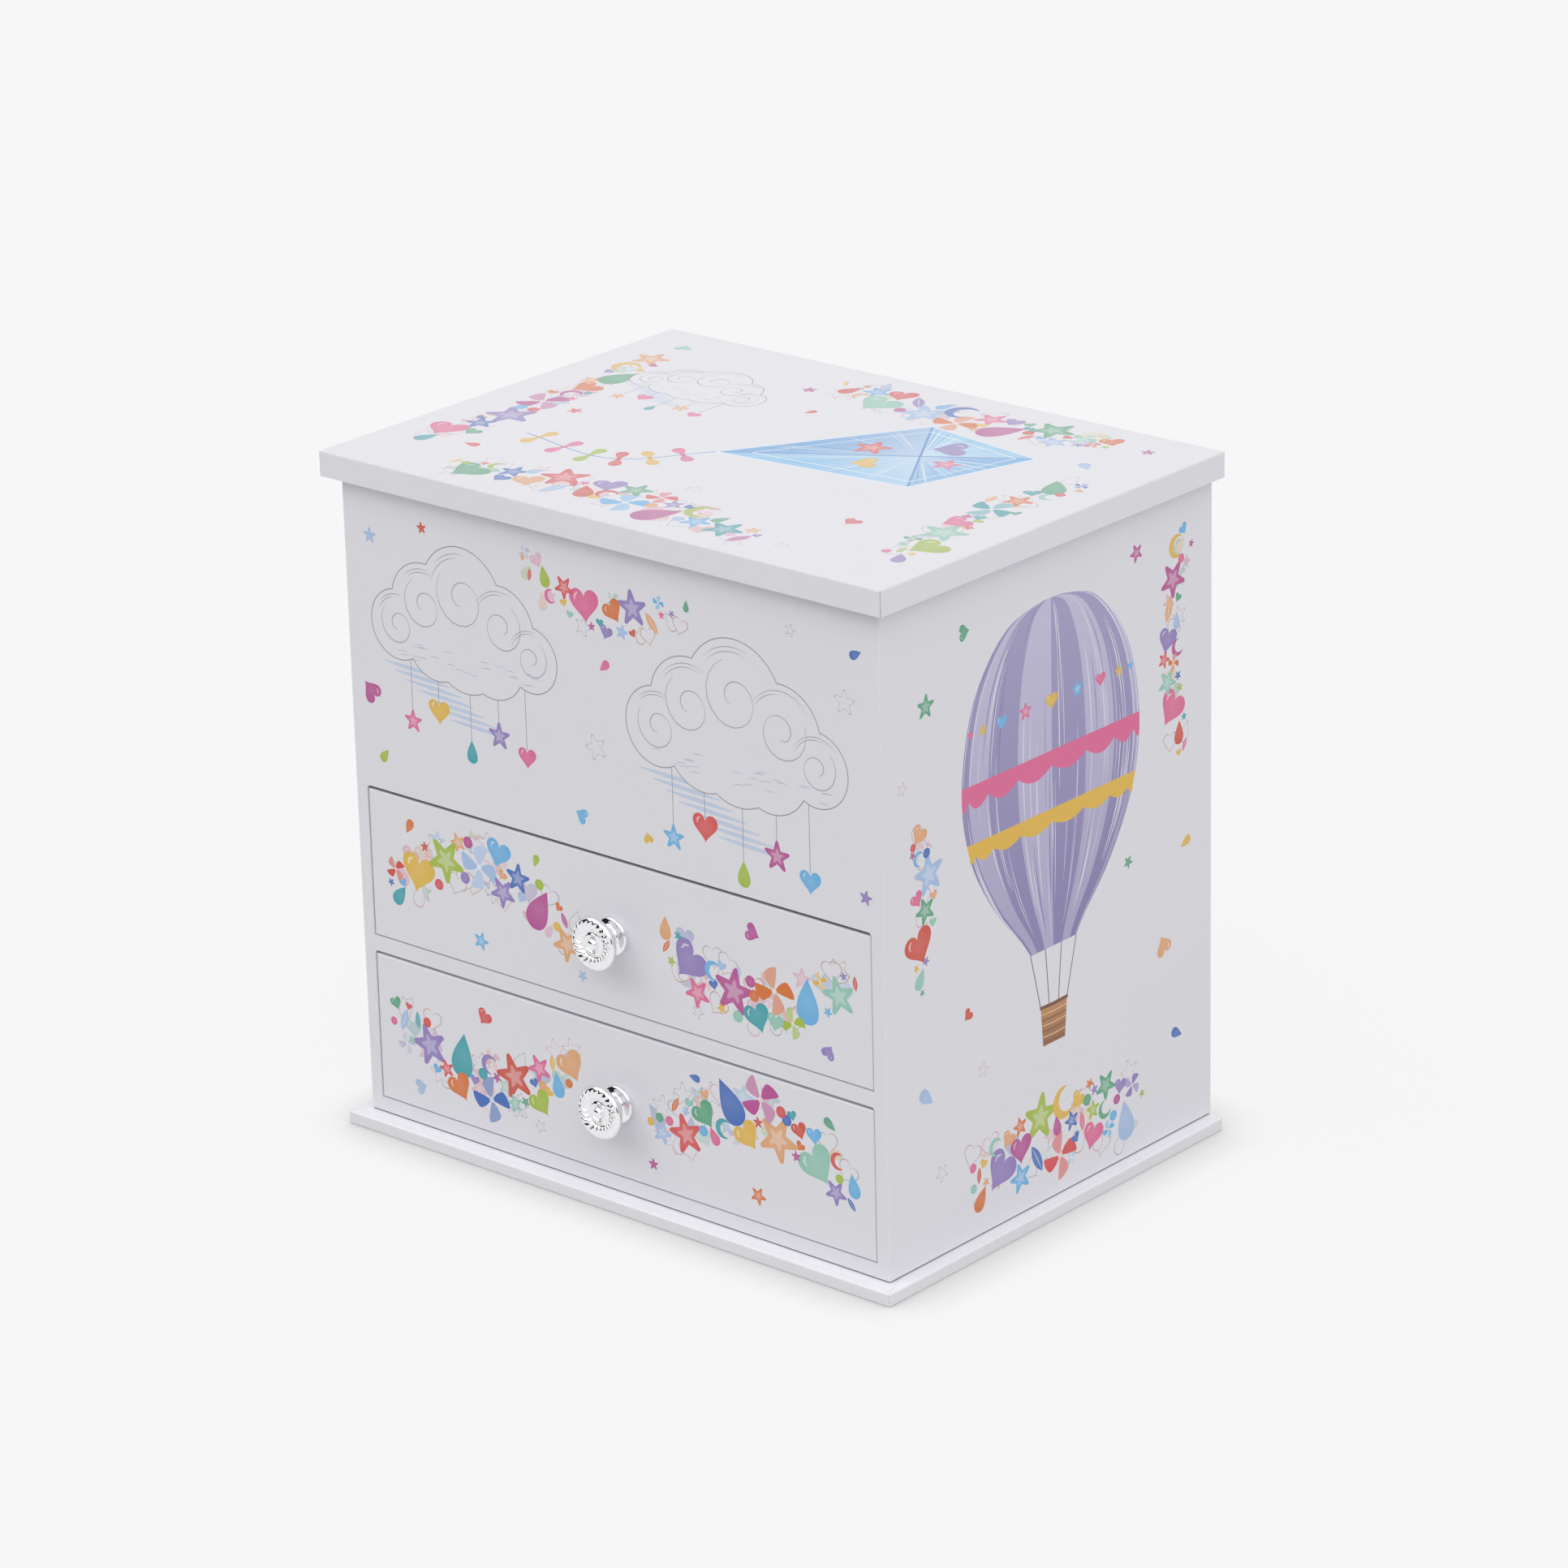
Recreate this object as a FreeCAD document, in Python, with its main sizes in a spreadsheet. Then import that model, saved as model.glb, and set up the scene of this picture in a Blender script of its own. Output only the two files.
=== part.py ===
import FreeCAD, Part
import math
import os
import re

import Sketcher

# Wind up music box: a covered board case with a hinged lid, two drawers and an 18 note movement.
# Millimetres, +Z up, drawers to -Y, lid hinged along +Y, origin under the middle of the case.

SIZES = [
    # case
    ("case_width", 191.8, "outside width of the covered case"),
    ("case_depth", 142.6, "outside depth of the covered case"),
    ("panel_thick", 4.0, "side, front and back boards"),
    ("paper_thick", 0.25, "printed covering paper"),
    ("corner_round", 0.8, "fold of the paper at the upright corners"),
    ("fold_round", 0.4, "fold of the paper at the lid and drawer edges"),
    ("plinth_thick", 3.9, "plinth board"),
    ("plinth_side_out", 4.35, "plinth beyond the case at each side"),
    ("plinth_front_out", 5.5, "plinth beyond the case at the front"),
    ("plinth_round", 1.7, "round nose of the plinth"),
    ("bottom_thick", 4.6, "bottom board"),
    ("shelf_thick", 4.6, "shelf between the drawers"),
    ("floor_thick", 4.0, "floor of the upper compartment"),
    ("drawer_high", 45.2, "height of each drawer opening"),
    ("tray_high", 86.1, "upper compartment, floor to rim"),
    # lid
    ("lid_thick", 7.2, "covered lid"),
    ("lid_side_out", 4.1, "lid beyond the case at each side"),
    ("lid_front_out", 3.9, "lid beyond the case at the front"),
    ("lining_thick", 1.5, "padded card inside the lid"),
    ("lining_gap", 1.5, "lining to the case walls"),
    ("mirror_border", 16.0, "lining left round the mirror"),
    ("mirror_thick", 1.3, "mirror glass"),
    ("mirror_gap", 0.2, "mirror to its lining"),
    # hinges
    ("hinge_off", 58.0, "hinge centre from the middle"),
    ("hinge_long", 21.0, "hinge length"),
    ("leaf_thick", 0.8, "hinge leaf"),
    ("leaf_reach", 10.5, "leaf edge from the pin"),
    ("barrel_radius", 1.5, "hinge knuckle"),
    ("barrel_gap", 0.15, "knuckle to the back of the case"),
    ("pin_radius", 0.7, "hinge pin"),
    ("knuckle_gap", 0.12, "play between knuckles"),
    ("batten_deep", 8.0, "hinge batten, front to back"),
    ("batten_high", 8.0, "hinge batten, height"),
    ("hinge_screw_long", 5.0, "hinge screw"),
    ("hinge_screw_radius", 0.7, "hinge screw shank"),
    # drawers
    ("drawer_side_gap", 0.4, "drawer front to the opening, each side"),
    ("drawer_low_gap", 0.25, "drawer to the board under it"),
    ("drawer_top_gap", 1.0, "drawer front to the top of the opening"),
    ("front_thick", 5.0, "covered drawer front"),
    ("runner_gap", 0.8, "drawer side to the case"),
    ("side_thick", 3.0, "drawer sides and back"),
    ("side_high", 34.0, "drawer sides and back, height"),
    ("tray_bottom_thick", 2.5, "drawer bottom"),
    ("drawer_back_gap", 2.0, "drawer to the back panel"),
    # knobs
    ("knob_radius", 7.85, "knob face"),
    ("knob_flange", 5.7, "knob foot"),
    ("knob_neck", 3.3, "knob waist"),
    ("knob_long", 9.6, "foot to rim of the face"),
    ("knob_flutes", 22, "flutes round the face"),
    ("knob_dish", 0.5, "dish inside the flutes, under the rim"),
    ("knob_dome", 1.4, "dome in the dish"),
    ("knob_screw_radius", 1.5, "knob screw shank"),
    ("knob_screw_into", 5.0, "screw inside the knob"),
    # cover over the movement and cushion
    ("cover_thick", 3.0, "boards of the cover"),
    ("cover_gap", 2.0, "wheels to the cover"),
    ("dancer_front_room", 12.0, "spindle to the front of the cover"),
    ("cushion_gap", 1.0, "ring cushion to the walls"),
    ("cushion_high", 15.0, "ring cushion to the crowns"),
    ("cushion_edge", -12.0, "right end of the ring cushion"),
    # movement
    ("bed_thick", 1.6, "bed of the movement frame"),
    ("plate_thick", 1.5, "upright plates of the frame"),
    ("wheel_gap", 0.6, "great wheel to the bed"),
    ("side_play", 0.5, "play between neighbouring wheels"),
    ("movement_back_gap", 7.5, "movement to the back panel"),
    ("gear_module", 0.5, "great wheel, pinion and crown wheel"),
    ("train_module", 0.3, "governor wheel"),
    ("fan_module", 0.25, "fan wheel"),
    ("wheel_thick", 1.4, "wheels"),
    ("arbor_radius", 1.0, "cylinder arbor and spindle"),
    ("winding_radius", 1.6, "winding arbor"),
    ("pivot_radius", 0.6, "layshaft and fan arbors"),
    ("pivot_gap", 0.05, "running fit of arbors"),
    ("barrel_wall", 0.8, "wall of the spring barrel"),
    ("barrel_play", 0.6, "spring barrel to the cylinder pins"),
    ("spring_thick", 0.4, "mainspring strip"),
    ("spring_pitch", 1.2, "mainspring, turn to turn"),
    ("cylinder_radius", 6.5, "pinned cylinder"),
    ("pin_high", 0.6, "pins on the cylinder"),
    ("pin_wide", 0.4, "width of a cylinder pin"),
    ("comb_pitch", 0.9, "comb, tooth to tooth"),
    ("comb_slot", 0.14, "slot between teeth"),
    ("comb_long", 17.0, "comb, front to back of a tooth"),
    ("comb_thick", 1.0, "comb"),
    ("comb_gap", 0.2, "comb tips to the pins"),
    ("comb_seat", 6.5, "part of the comb on its seat"),
    ("spindle_room", 6.5, "spindle to the front plate"),
    ("fan_radius", 4.4, "fan of the governor"),
    ("fan_long", 11.0, "fan of the governor"),
    ("fan_gap", 1.0, "fan to its bracket"),
    ("bracket_half", 3.0, "half width of the governor bracket"),
    # winding key
    ("key_hole_gap", 0.7, "arbor to the hole in the back"),
    ("key_gap", 1.2, "key hub to the back of the case"),
    ("key_hub_radius", 2.6, "key hub"),
    ("key_long", 15.0, "key, hub to wing tips"),
    ("key_wing_radius", 6.6, "round wings of the key"),
    ("key_eye_radius", 3.0, "eyes in the wings"),
    ("key_thick", 1.6, "plate of the key"),
    # dancer and stop rod
    ("bush_wall", 1.2, "wall of the spindle bush"),
    ("dancer_gap", 0.6, "dancer disc to the cover"),
    ("disc_radius", 6.5, "dancer disc"),
    ("disc_thick", 1.6, "dancer disc"),
    ("dancer_headroom", 2.0, "dancer to the closed lid"),
    ("skirt_radius", 10.0, "dancer skirt"),
    ("stop_radius", 0.9, "stop rod"),
    ("stop_arm", 6.0, "arm of the stop rod"),
    ("stop_gap", 0.5, "stop rod arm to the fan"),
]

# Tooth counts of the train.
GREAT_TEETH = 60
PINION_TEETH = 15
CROWN_TEETH = 24
SPINDLE_TEETH = 12
GOVERNOR_TEETH = 60
LAY_PINION_TEETH = 10
LAY_TEETH = 50
FAN_TEETH = 10
COMB_TEETH = 18

# The layshaft stands at 120 degrees round the cylinder.
LAY_COS = -0.5
LAY_SIN = math.sqrt(3) / 2

# Places that follow from the sizes, written as formulas of them.
PLACES = {
    "half_width": "case_width / 2",
    "half_depth": "case_depth / 2",
    "side_out": "half_width - paper_thick",
    "side_in": "side_out - panel_thick",
    "board_front": "paper_thick - half_depth",
    "board_back": "half_depth - paper_thick",
    "front_in": "board_front + panel_thick",
    "back_in": "board_back - panel_thick",
    "lower_low": "plinth_thick + bottom_thick",
    "lower_top": "lower_low + drawer_high",
    "upper_low": "lower_top + shelf_thick",
    "upper_top": "upper_low + drawer_high",
    "tray_low": "upper_top + floor_thick",
    "rim": "tray_low + tray_high",
    "lid_top": "rim + lid_thick",
    "lid_side": "half_width + lid_side_out",
    "lid_front": "-half_depth - lid_front_out",
    "hinge_y": "half_depth + barrel_gap + barrel_radius",
    "leaf_edge": "hinge_y - leaf_reach",
    "lining_back": "back_in - batten_deep - lining_gap",
    # movement, front to back
    "great_tip": f"gear_module * {GREAT_TEETH / 2 + 1}",
    "axis_z": "tray_low + bed_thick + wheel_gap + great_tip",
    "winding_x": f"gear_module * {(GREAT_TEETH + PINION_TEETH) / 2}",
    "crown_radius": f"gear_module * {CROWN_TEETH / 2}",
    "lay_far": f"train_module * {(GOVERNOR_TEETH + LAY_PINION_TEETH) / 2}",
    "lay_x": f"lay_far * {LAY_COS}",
    "lay_z": f"axis_z + lay_far * {LAY_SIN:.6f}",
    "lay_tip": f"fan_module * {LAY_TEETH / 2 + 1}",
    "fan_x": f"lay_x - fan_module * {(LAY_TEETH + FAN_TEETH) / 2}",
    "cylinder_long": f"comb_pitch * {COMB_TEETH} + 0.4",
    "pinion_long": "wheel_thick + 2 * 0.3",
    "rear_plate_high": "back_in - movement_back_gap",
    "rear_plate_low": "rear_plate_high - plate_thick",
    "lay_wheel_high": "rear_plate_low - 2 * side_play",
    "lay_wheel_low": "lay_wheel_high - wheel_thick",
    "governor_high": "lay_wheel_low - side_play",
    "governor_low": "governor_high - wheel_thick",
    "bracket_high": "governor_low - side_play",
    "bracket_low": "bracket_high - plate_thick",
    "pinion_high": "governor_low - 2 * side_play",
    "pinion_low": "pinion_high - pinion_long",
    "cylinder_high": "pinion_low - side_play",
    "cylinder_low": "cylinder_high - cylinder_long",
    "crown_high": "cylinder_low - side_play",
    "crown_low": "crown_high - wheel_thick",
    "crown_pitch": "crown_low - 1.3 * gear_module",
    "spindle_y": f"crown_pitch - gear_module * {SPINDLE_TEETH / 2}",
    "front_plate_high": "spindle_y - spindle_room",
    "front_plate_low": "front_plate_high - plate_thick",
    "great_low": "pinion_low + 0.3",
    "great_high": "great_low + wheel_thick",
    "bed_top": "tray_low + bed_thick",
    "bed_right": "winding_x + great_tip + 1",
    "comb_tip": "-cylinder_radius - pin_high - comb_gap",
    "comb_back": "comb_tip - comb_long",
    "bed_left": "comb_back - 1",
    "barrel_outside": "winding_x - cylinder_radius - pin_high - barrel_play",
    "arm_top": "axis_z + crown_radius - 2.2",
    "arm_low": "arm_top - plate_thick",
    # cover, dancer, stop rod
    "cover_low": "max(axis_z + great_tip; lay_z + lay_tip) + cover_gap",
    "cover_top_z": "cover_low + cover_thick",
    "cover_front_y": "spindle_y - dancer_front_room",
    "dancer_low": "cover_top_z + dancer_gap",
    "figure_low": "dancer_low + disc_thick",
    "figure_top": "rim - lining_thick - dancer_headroom",
    "stop_x": "fan_x - fan_radius - stop_gap - stop_arm",
    "stop_y": "bracket_low - fan_gap - fan_long / 2",
    # drawers
    "drawer_half": "side_in - drawer_side_gap",
    "drawer_out": "side_in - runner_gap",
    "drawer_in": "drawer_out - side_thick",
    "front_back": "front_thick - half_depth",
    "tray_back": "back_in - drawer_back_gap",
    "key_low": "half_depth + key_gap",
}

NAME = re.compile(r"[a-z][a-z_0-9]*")
ALIASES = [row[0] for row in SIZES]

doc = FreeCAD.newDocument("music_box")
sheet = doc.addObject("Spreadsheet::Sheet", "sizes")
for line, (alias, value, note) in enumerate(SIZES, start=1):
    sheet.set(f"A{line}", alias)
    sheet.set(f"B{line}", str(value))
    sheet.set(f"C{line}", note)
    sheet.setAlias(f"B{line}", alias)
doc.recompute()

finished = []


def formula(text):
    # Replaces the names of places and sizes by cells of the sheet.
    def swap(match):
        name = match.group(0)
        if name in PLACES:
            return "(" + formula(PLACES[name]) + ")"
        if name in ALIASES:
            return "sizes." + name
        return name
    return NAME.sub(swap, str(text))


def number(text):
    return float(sheet.evalExpression(formula(text)))


def bind(thing, **expressions):
    for prop, text in expressions.items():
        thing.setExpression(prop.replace("__", "."), formula(text))


def place(thing, x=0, y=0, z=0):
    bind(thing, Placement__Base__x=x, Placement__Base__y=y, Placement__Base__z=z)


def keep(thing, label):
    thing.Label = label
    finished.append(thing)
    return thing


def box(label, x, y, z):
    # A board given by its low and high formula along each axis.
    made = doc.addObject("Part::Box", label)
    bind(made, Length=f"({x[1]}) - ({x[0]})", Width=f"({y[1]}) - ({y[0]})")
    bind(made, Height=f"({z[1]}) - ({z[0]})")
    place(made, x[0], y[0], z[0])
    return made


def rod(label, radius, low, high, x=0, y=0, z=0, along="z"):
    # A cylinder from low to high along one axis through the given point.
    made = doc.addObject("Part::Cylinder", label)
    bind(made, Radius=radius, Height=f"({high}) - ({low})")
    turn = {"z": FreeCAD.Rotation(), "y": FreeCAD.Rotation(FreeCAD.Vector(1, 0, 0), -90),
            "x": FreeCAD.Rotation(FreeCAD.Vector(0, 1, 0), 90)}
    made.Placement = FreeCAD.Placement(FreeCAD.Vector(), turn[along])
    spot = {"x": x, "y": y, "z": z}
    spot[along] = low
    place(made, **spot)
    return made


def join(label, pieces):
    made = doc.addObject("Part::MultiFuse", label)
    made.Shapes = pieces
    return made


def cut(label, base, tools):
    tool = tools[0]
    if len(tools) > 1:
        tool = join(label + "_cuts", tools)
    made = doc.addObject("Part::Cut", label)
    made.Base = base
    made.Tool = tool
    return made


def solid(label, shape, x=0, y=0, z=0, rotation=None):
    # A piece whose shape is set by code, placed after its shape.
    made = doc.addObject("Part::Feature", label)
    made.Shape = shape
    made.Placement = FreeCAD.Placement(FreeCAD.Vector(), rotation or FreeCAD.Rotation())
    place(made, x, y, z)
    return made


def new_body(label):
    return doc.addObject("PartDesign::Body", label)


def origin_plane(body, role):
    return next(item for item in body.Origin.OriginFeatures if item.Role == role)


def new_sketch(body, role, offset):
    sketch = body.newObject("Sketcher::SketchObject", body.Name + "_sketch")
    sketch.AttachmentSupport = [(origin_plane(body, role), "")]
    sketch.MapMode = "FlatFace"
    bind(sketch, AttachmentOffset__Base__z=offset)
    return sketch


def bound(sketch, text, kind, *ends):
    index = sketch.addConstraint(Sketcher.Constraint(kind, *ends, number(text)))
    sketch.setExpression(f"Constraints[{index}]", formula(text))


def outline(body, role, corners, offset=0):
    # A closed outline. A corner is (x, y), or (x, y, radius, side) when an arc leads to it,
    # with side 1 for an arc that bulges to the left of the way along the outline.
    sketch = new_sketch(body, role, offset)
    spots = [FreeCAD.Vector(number(c[0]), number(c[1]), 0) for c in corners]
    count = len(corners)
    first = []
    last = []
    for i in range(count):
        start, end = spots[i], spots[(i + 1) % count]
        corner = corners[(i + 1) % count]
        if len(corner) == 2:
            sketch.addGeometry(Part.LineSegment(start, end))
            first.append(1)
            last.append(2)
            continue
        chord = end - start
        radius = number(corner[2])
        rise = math.sqrt(max(radius ** 2 - chord.Length ** 2 / 4, 0))
        left = FreeCAD.Vector(-chord.y, chord.x, 0).normalize()
        centre = (start + end) / 2 - left * (rise * corner[3])
        ends = (end, start) if corner[3] > 0 else (start, end)
        angles = [math.atan2(spot.y - centre.y, spot.x - centre.x) for spot in ends]
        circle = Part.Circle(centre, FreeCAD.Vector(0, 0, 1), radius)
        sketch.addGeometry(Part.ArcOfCircle(circle, angles[0], angles[1]))
        first.append(2 if corner[3] > 0 else 1)
        last.append(1 if corner[3] > 0 else 2)
    for i in range(count):
        following = (i + 1) % count
        sketch.addConstraint(Sketcher.Constraint(
            "Coincident", i, last[i], following, first[following]))
    for i, corner in enumerate(corners):
        bound(sketch, corner[0], "DistanceX", -1, 1, i, first[i])
        bound(sketch, corner[1], "DistanceY", -1, 1, i, first[i])
        if len(corner) == 4:
            bound(sketch, corner[2], "Radius", (i - 1) % count)
    return sketch


def ring_sketch(body, role, x, y, radius, offset=0):
    sketch = new_sketch(body, role, offset)
    centre = FreeCAD.Vector(number(x), number(y), 0)
    sketch.addGeometry(Part.Circle(centre, FreeCAD.Vector(0, 0, 1), number(radius)))
    bound(sketch, x, "DistanceX", -1, 1, 0, 3)
    bound(sketch, y, "DistanceY", -1, 1, 0, 3)
    bound(sketch, radius, "Radius", 0)
    return sketch


def rectangle(x, y):
    return [(x[0], y[0]), (x[1], y[0]), (x[1], y[1]), (x[0], y[1])]


def draw(body, role, shape, offset):
    # A list of corners is an outline, and (x, y, radius) is a circle.
    if isinstance(shape, list):
        return outline(body, role, shape, offset)
    return ring_sketch(body, role, *shape, offset)


def pad(body, role, shape, low, high):
    # Adds material between low and high along the axis that the plane faces.
    offset = f"-({high})" if role == "XZ_Plane" else low
    sketch = draw(body, role, shape, offset)
    made = body.newObject("PartDesign::Pad", body.Name + "_pad")
    made.Profile = sketch
    bind(made, Length=f"({high}) - ({low})")
    return made


def pocket(body, role, shape, low, high):
    # Takes material away between low and high along the axis that the plane faces.
    offset = f"-({low})" if role == "XZ_Plane" else high
    sketch = draw(body, role, shape, offset)
    made = body.newObject("PartDesign::Pocket", body.Name + "_pocket")
    made.Profile = sketch
    bind(made, Length=f"({high}) - ({low})")
    return made


def revolve(body, corners):
    # Turns a profile of (radius, height) corners about the body's Z axis.
    sketch = outline(body, "XZ_Plane", corners)
    made = body.newObject("PartDesign::Revolution", body.Name + "_turned")
    made.Profile = sketch
    made.ReferenceAxis = (sketch, ["V_Axis"])
    made.Angle = 360
    return made


def round_edges(body, radius, wanted):
    # Rounds the edges of the body's last feature whose middle passes the test.
    doc.recompute()
    base = body.Tip
    names = []
    for index, edge in enumerate(base.Shape.Edges, start=1):
        if wanted(edge):
            names.append(f"Edge{index}")
    made = body.newObject("PartDesign::Fillet", body.Name + "_round")
    made.Base = (base, names)
    bind(made, Radius=radius)
    return made


def upright(edge):
    ends = [vertex.Point for vertex in edge.Vertexes]
    return len(ends) == 2 and abs(ends[0].z - ends[1].z) > 1


def close(a, b):
    return abs(a - b) < 1e-4


def tooth_outline(teeth, module, thin=0.0, tip=1.0, root=1.25):
    # Involute teeth as a closed list of points, the first tooth on the +X axis.
    pitch = teeth * module / 2
    base = pitch * math.cos(math.radians(20))
    low = pitch - root * module
    high = pitch + tip * module

    def involute(radius):
        angle = math.acos(min(1.0, base / radius))
        return math.tan(angle) - angle

    half = (math.pi / 2 - thin) / teeth

    def half_angle(radius):
        return half + involute(pitch) - involute(max(radius, base))

    steps = [low, max(low, base) + 0.02 * module, pitch, (pitch + high) / 2, high]
    flank = [(radius, half_angle(radius)) for radius in steps]
    points = []
    for tooth in range(teeth):
        middle = 2 * math.pi * tooth / teeth
        sides = [(r, middle - a) for r, a in flank] + [(r, middle + a) for r, a in reversed(flank)]
        points += [FreeCAD.Vector(r * math.cos(a), r * math.sin(a), 0) for r, a in sides]
    return points


def gear(teeth, module, thick, turn, bore=0.0, **shape):
    # A wheel along +Z with its first tooth turned by so many degrees.
    points = tooth_outline(teeth, module, **shape)
    face = Part.Face(Part.makePolygon(points + points[:1]))
    made = face.extrude(FreeCAD.Vector(0, 0, thick))
    if bore:
        made = made.cut(Part.makeCylinder(bore, thick))
    made.rotate(FreeCAD.Vector(), FreeCAD.Vector(0, 0, 1), turn)
    return made


def spokes(wheel, thick, inner, outer, count):
    # Opens a wheel between its hub and its rim, leaving straight spokes.
    ring = Part.makeCylinder(outer, thick).cut(Part.makeCylinder(inner, thick))
    bar = Part.makeBox(2 * outer, 1.6, thick, FreeCAD.Vector(-outer, -0.8, 0))
    for index in range(count):
        arm = bar.copy()
        arm.rotate(FreeCAD.Vector(), FreeCAD.Vector(0, 0, 1), 180 * index / count + 11)
        ring = ring.cut(arm)
    return wheel.cut(ring)


def screw(head, head_high, shank, long, sunk=False):
    # A screw along -Z with its head on the XY plane, or sunk under it.
    if sunk:
        top = Part.makeCone(shank, head, head_high, FreeCAD.Vector(0, 0, -head_high))
        body = Part.makeCylinder(shank, long - head_high, FreeCAD.Vector(0, 0, -long))
    else:
        brow = head_high * 0.6
        top = Part.makeCylinder(head, brow)
        crown = Part.makeCone(head, head * 0.7, head_high - brow, FreeCAD.Vector(0, 0, brow))
        top = top.fuse(crown)
        body = Part.makeCylinder(shank, long, FreeCAD.Vector(0, 0, -long))
    return top.fuse(body).removeSplitter()


def group(shape, spots, flip=False):
    # Copies of one fastener at the given places.
    copies = []
    for spot in spots:
        copy = shape.copy()
        if flip:
            copy.rotate(FreeCAD.Vector(), FreeCAD.Vector(1, 0, 0), 180)
        copy.translate(spot)
        copies.append(copy)
    return Part.makeCompound(copies)


ALONG_Y = FreeCAD.Rotation(FreeCAD.Vector(1, 0, 0), 90)


# Boards of the case

SPAN_IN = ("-side_in", "side_in")

plinth = new_body("plinth_board")
pad(plinth, "XY_Plane", rectangle(
    ("-half_width - plinth_side_out", "half_width + plinth_side_out"),
    ("-half_depth - plinth_front_out", "half_depth")), 0, "plinth_thick")
round_edges(plinth, "min(plinth_round; plinth_thick / 2 - 0.05)", lambda edge: (
    not upright(edge) and not close(edge.CenterOfMass.y, number("half_depth"))))
keep(plinth, "plinth_board")

keep(box("bottom_board", SPAN_IN, ("board_front", "back_in"), ("plinth_thick", "lower_low")),
     "bottom_board")
keep(box("drawer_shelf", SPAN_IN, ("board_front", "back_in"), ("lower_top", "upper_low")),
     "drawer_shelf")
keep(box("front_panel", SPAN_IN, ("board_front", "front_in"), ("upper_top", "rim")),
     "front_panel")

for name, x in (("left_panel", ("-side_out", "-side_in")), ("right_panel", ("side_in", "side_out"))):
    panel = new_body(name)
    pad(panel, "XY_Plane", rectangle(x, ("board_front", "board_back")), "plinth_thick", "rim")
    round_edges(panel, "corner_round - paper_thick", lambda edge: (
        upright(edge) and close(abs(edge.CenterOfMass.x), number("side_out"))))
    keep(panel, name)


# Hinges: leaves, pins and screws

HINGES = (-number("hinge_off"), number("hinge_off"))
HINGE_Y = number("hinge_y")
RIM = number("rim")
LEAF = number("leaf_thick")
REACH = number("leaf_reach")
HINGE = number("hinge_long")


def hinge_leaf(centre, below):
    # One leaf: the case leaf has the two outer knuckles, the lid leaf has the middle one.
    radius, play = number("barrel_radius"), number("knuckle_gap")
    pin = number("pin_radius") + (0 if below else number("pivot_gap"))
    third = HINGE / 3
    left = centre - HINGE / 2
    plate = Part.makeBox(HINGE, REACH, LEAF, FreeCAD.Vector(
        left, HINGE_Y - REACH, RIM - LEAF if below else RIM))

    def barrel(start, long, size):
        spot = FreeCAD.Vector(start, HINGE_Y, RIM)
        return Part.makeCylinder(size, long, spot, FreeCAD.Vector(1, 0, 0))

    outer = [(left, third - play), (left + 2 * third + play, third - play)]
    middle = [(left + third, third)]
    own, other = (outer, middle) if below else (middle, outer)
    for start, long in other:
        plate = plate.cut(barrel(start - play, long + 2 * play, radius + play))
    for start, long in own:
        plate = plate.fuse(barrel(start, long, radius))
    return plate.cut(barrel(left - 1, HINGE + 2, pin)).removeSplitter()


case_leaves_blank = solid("hinge_case_leaves_blank",
                          Part.makeCompound([hinge_leaf(x, True) for x in HINGES]))
lid_leaves_blank = solid("hinge_lid_leaves_blank",
                         Part.makeCompound([hinge_leaf(x, False) for x in HINGES]))

hinge_screw = screw(number("hinge_screw_radius") * 2, LEAF, number("hinge_screw_radius"),
                    number("hinge_screw_long"), sunk=True)
SCREW_Y = number("back_in - batten_deep / 3")
LID_SCREW_Y = number("back_in - 0.2 * batten_deep")
case_spots = [FreeCAD.Vector(x + share * HINGE, SCREW_Y, RIM) for x in HINGES for share in (-0.31, 0.31)]
lid_spots = [FreeCAD.Vector(x + share * HINGE, LID_SCREW_Y, RIM) for x in HINGES for share in (-0.19, 0.19)]
case_screws = keep(solid("hinge_case_screws", group(hinge_screw, case_spots)), "hinge_case_screws")
lid_screws = keep(solid("hinge_lid_screws", group(hinge_screw, lid_spots, flip=True)),
                  "hinge_lid_screws")
keep(cut("hinge_case_leaves", case_leaves_blank, [case_screws]), "hinge_case_leaves")
keep(cut("hinge_lid_leaves", lid_leaves_blank, [lid_screws]), "hinge_lid_leaves")
pins = [Part.makeCylinder(number("pin_radius"), HINGE, FreeCAD.Vector(x - HINGE / 2, HINGE_Y, RIM),
                          FreeCAD.Vector(1, 0, 0)) for x in HINGES]
keep(solid("hinge_pins", Part.makeCompound(pins)), "hinge_pins")


def mortises(label, low, high):
    # Room for the leaves, open to the back of the case.
    made = []
    for index, side in enumerate(("-hinge_off", "hinge_off")):
        span = (f"{side} - hinge_long / 2", f"{side} + hinge_long / 2")
        made.append(box(f"{label}_{index}", span, ("leaf_edge", "hinge_y"), (low, high)))
    return made


batten_blank = box("hinge_batten_blank", SPAN_IN, ("back_in - batten_deep", "back_in"),
                   ("rim - batten_high", "rim"))
keep(cut("hinge_batten", batten_blank,
         mortises("batten_mortise", "rim - leaf_thick", "rim") + [case_screws]), "hinge_batten")

back = new_body("back_panel_body")
pad(back, "XZ_Plane", rectangle(SPAN_IN, ("plinth_thick", "rim")), "back_in", "board_back")
pocket(back, "XZ_Plane", ("winding_x", "axis_z", "winding_radius + key_hole_gap"),
       "back_in", "board_back")
keep(cut("back_panel", back, mortises("back_mortise", "rim - leaf_thick", "rim")), "back_panel")


# Printed paper round the case: a folded ring with windows for the drawers

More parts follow.
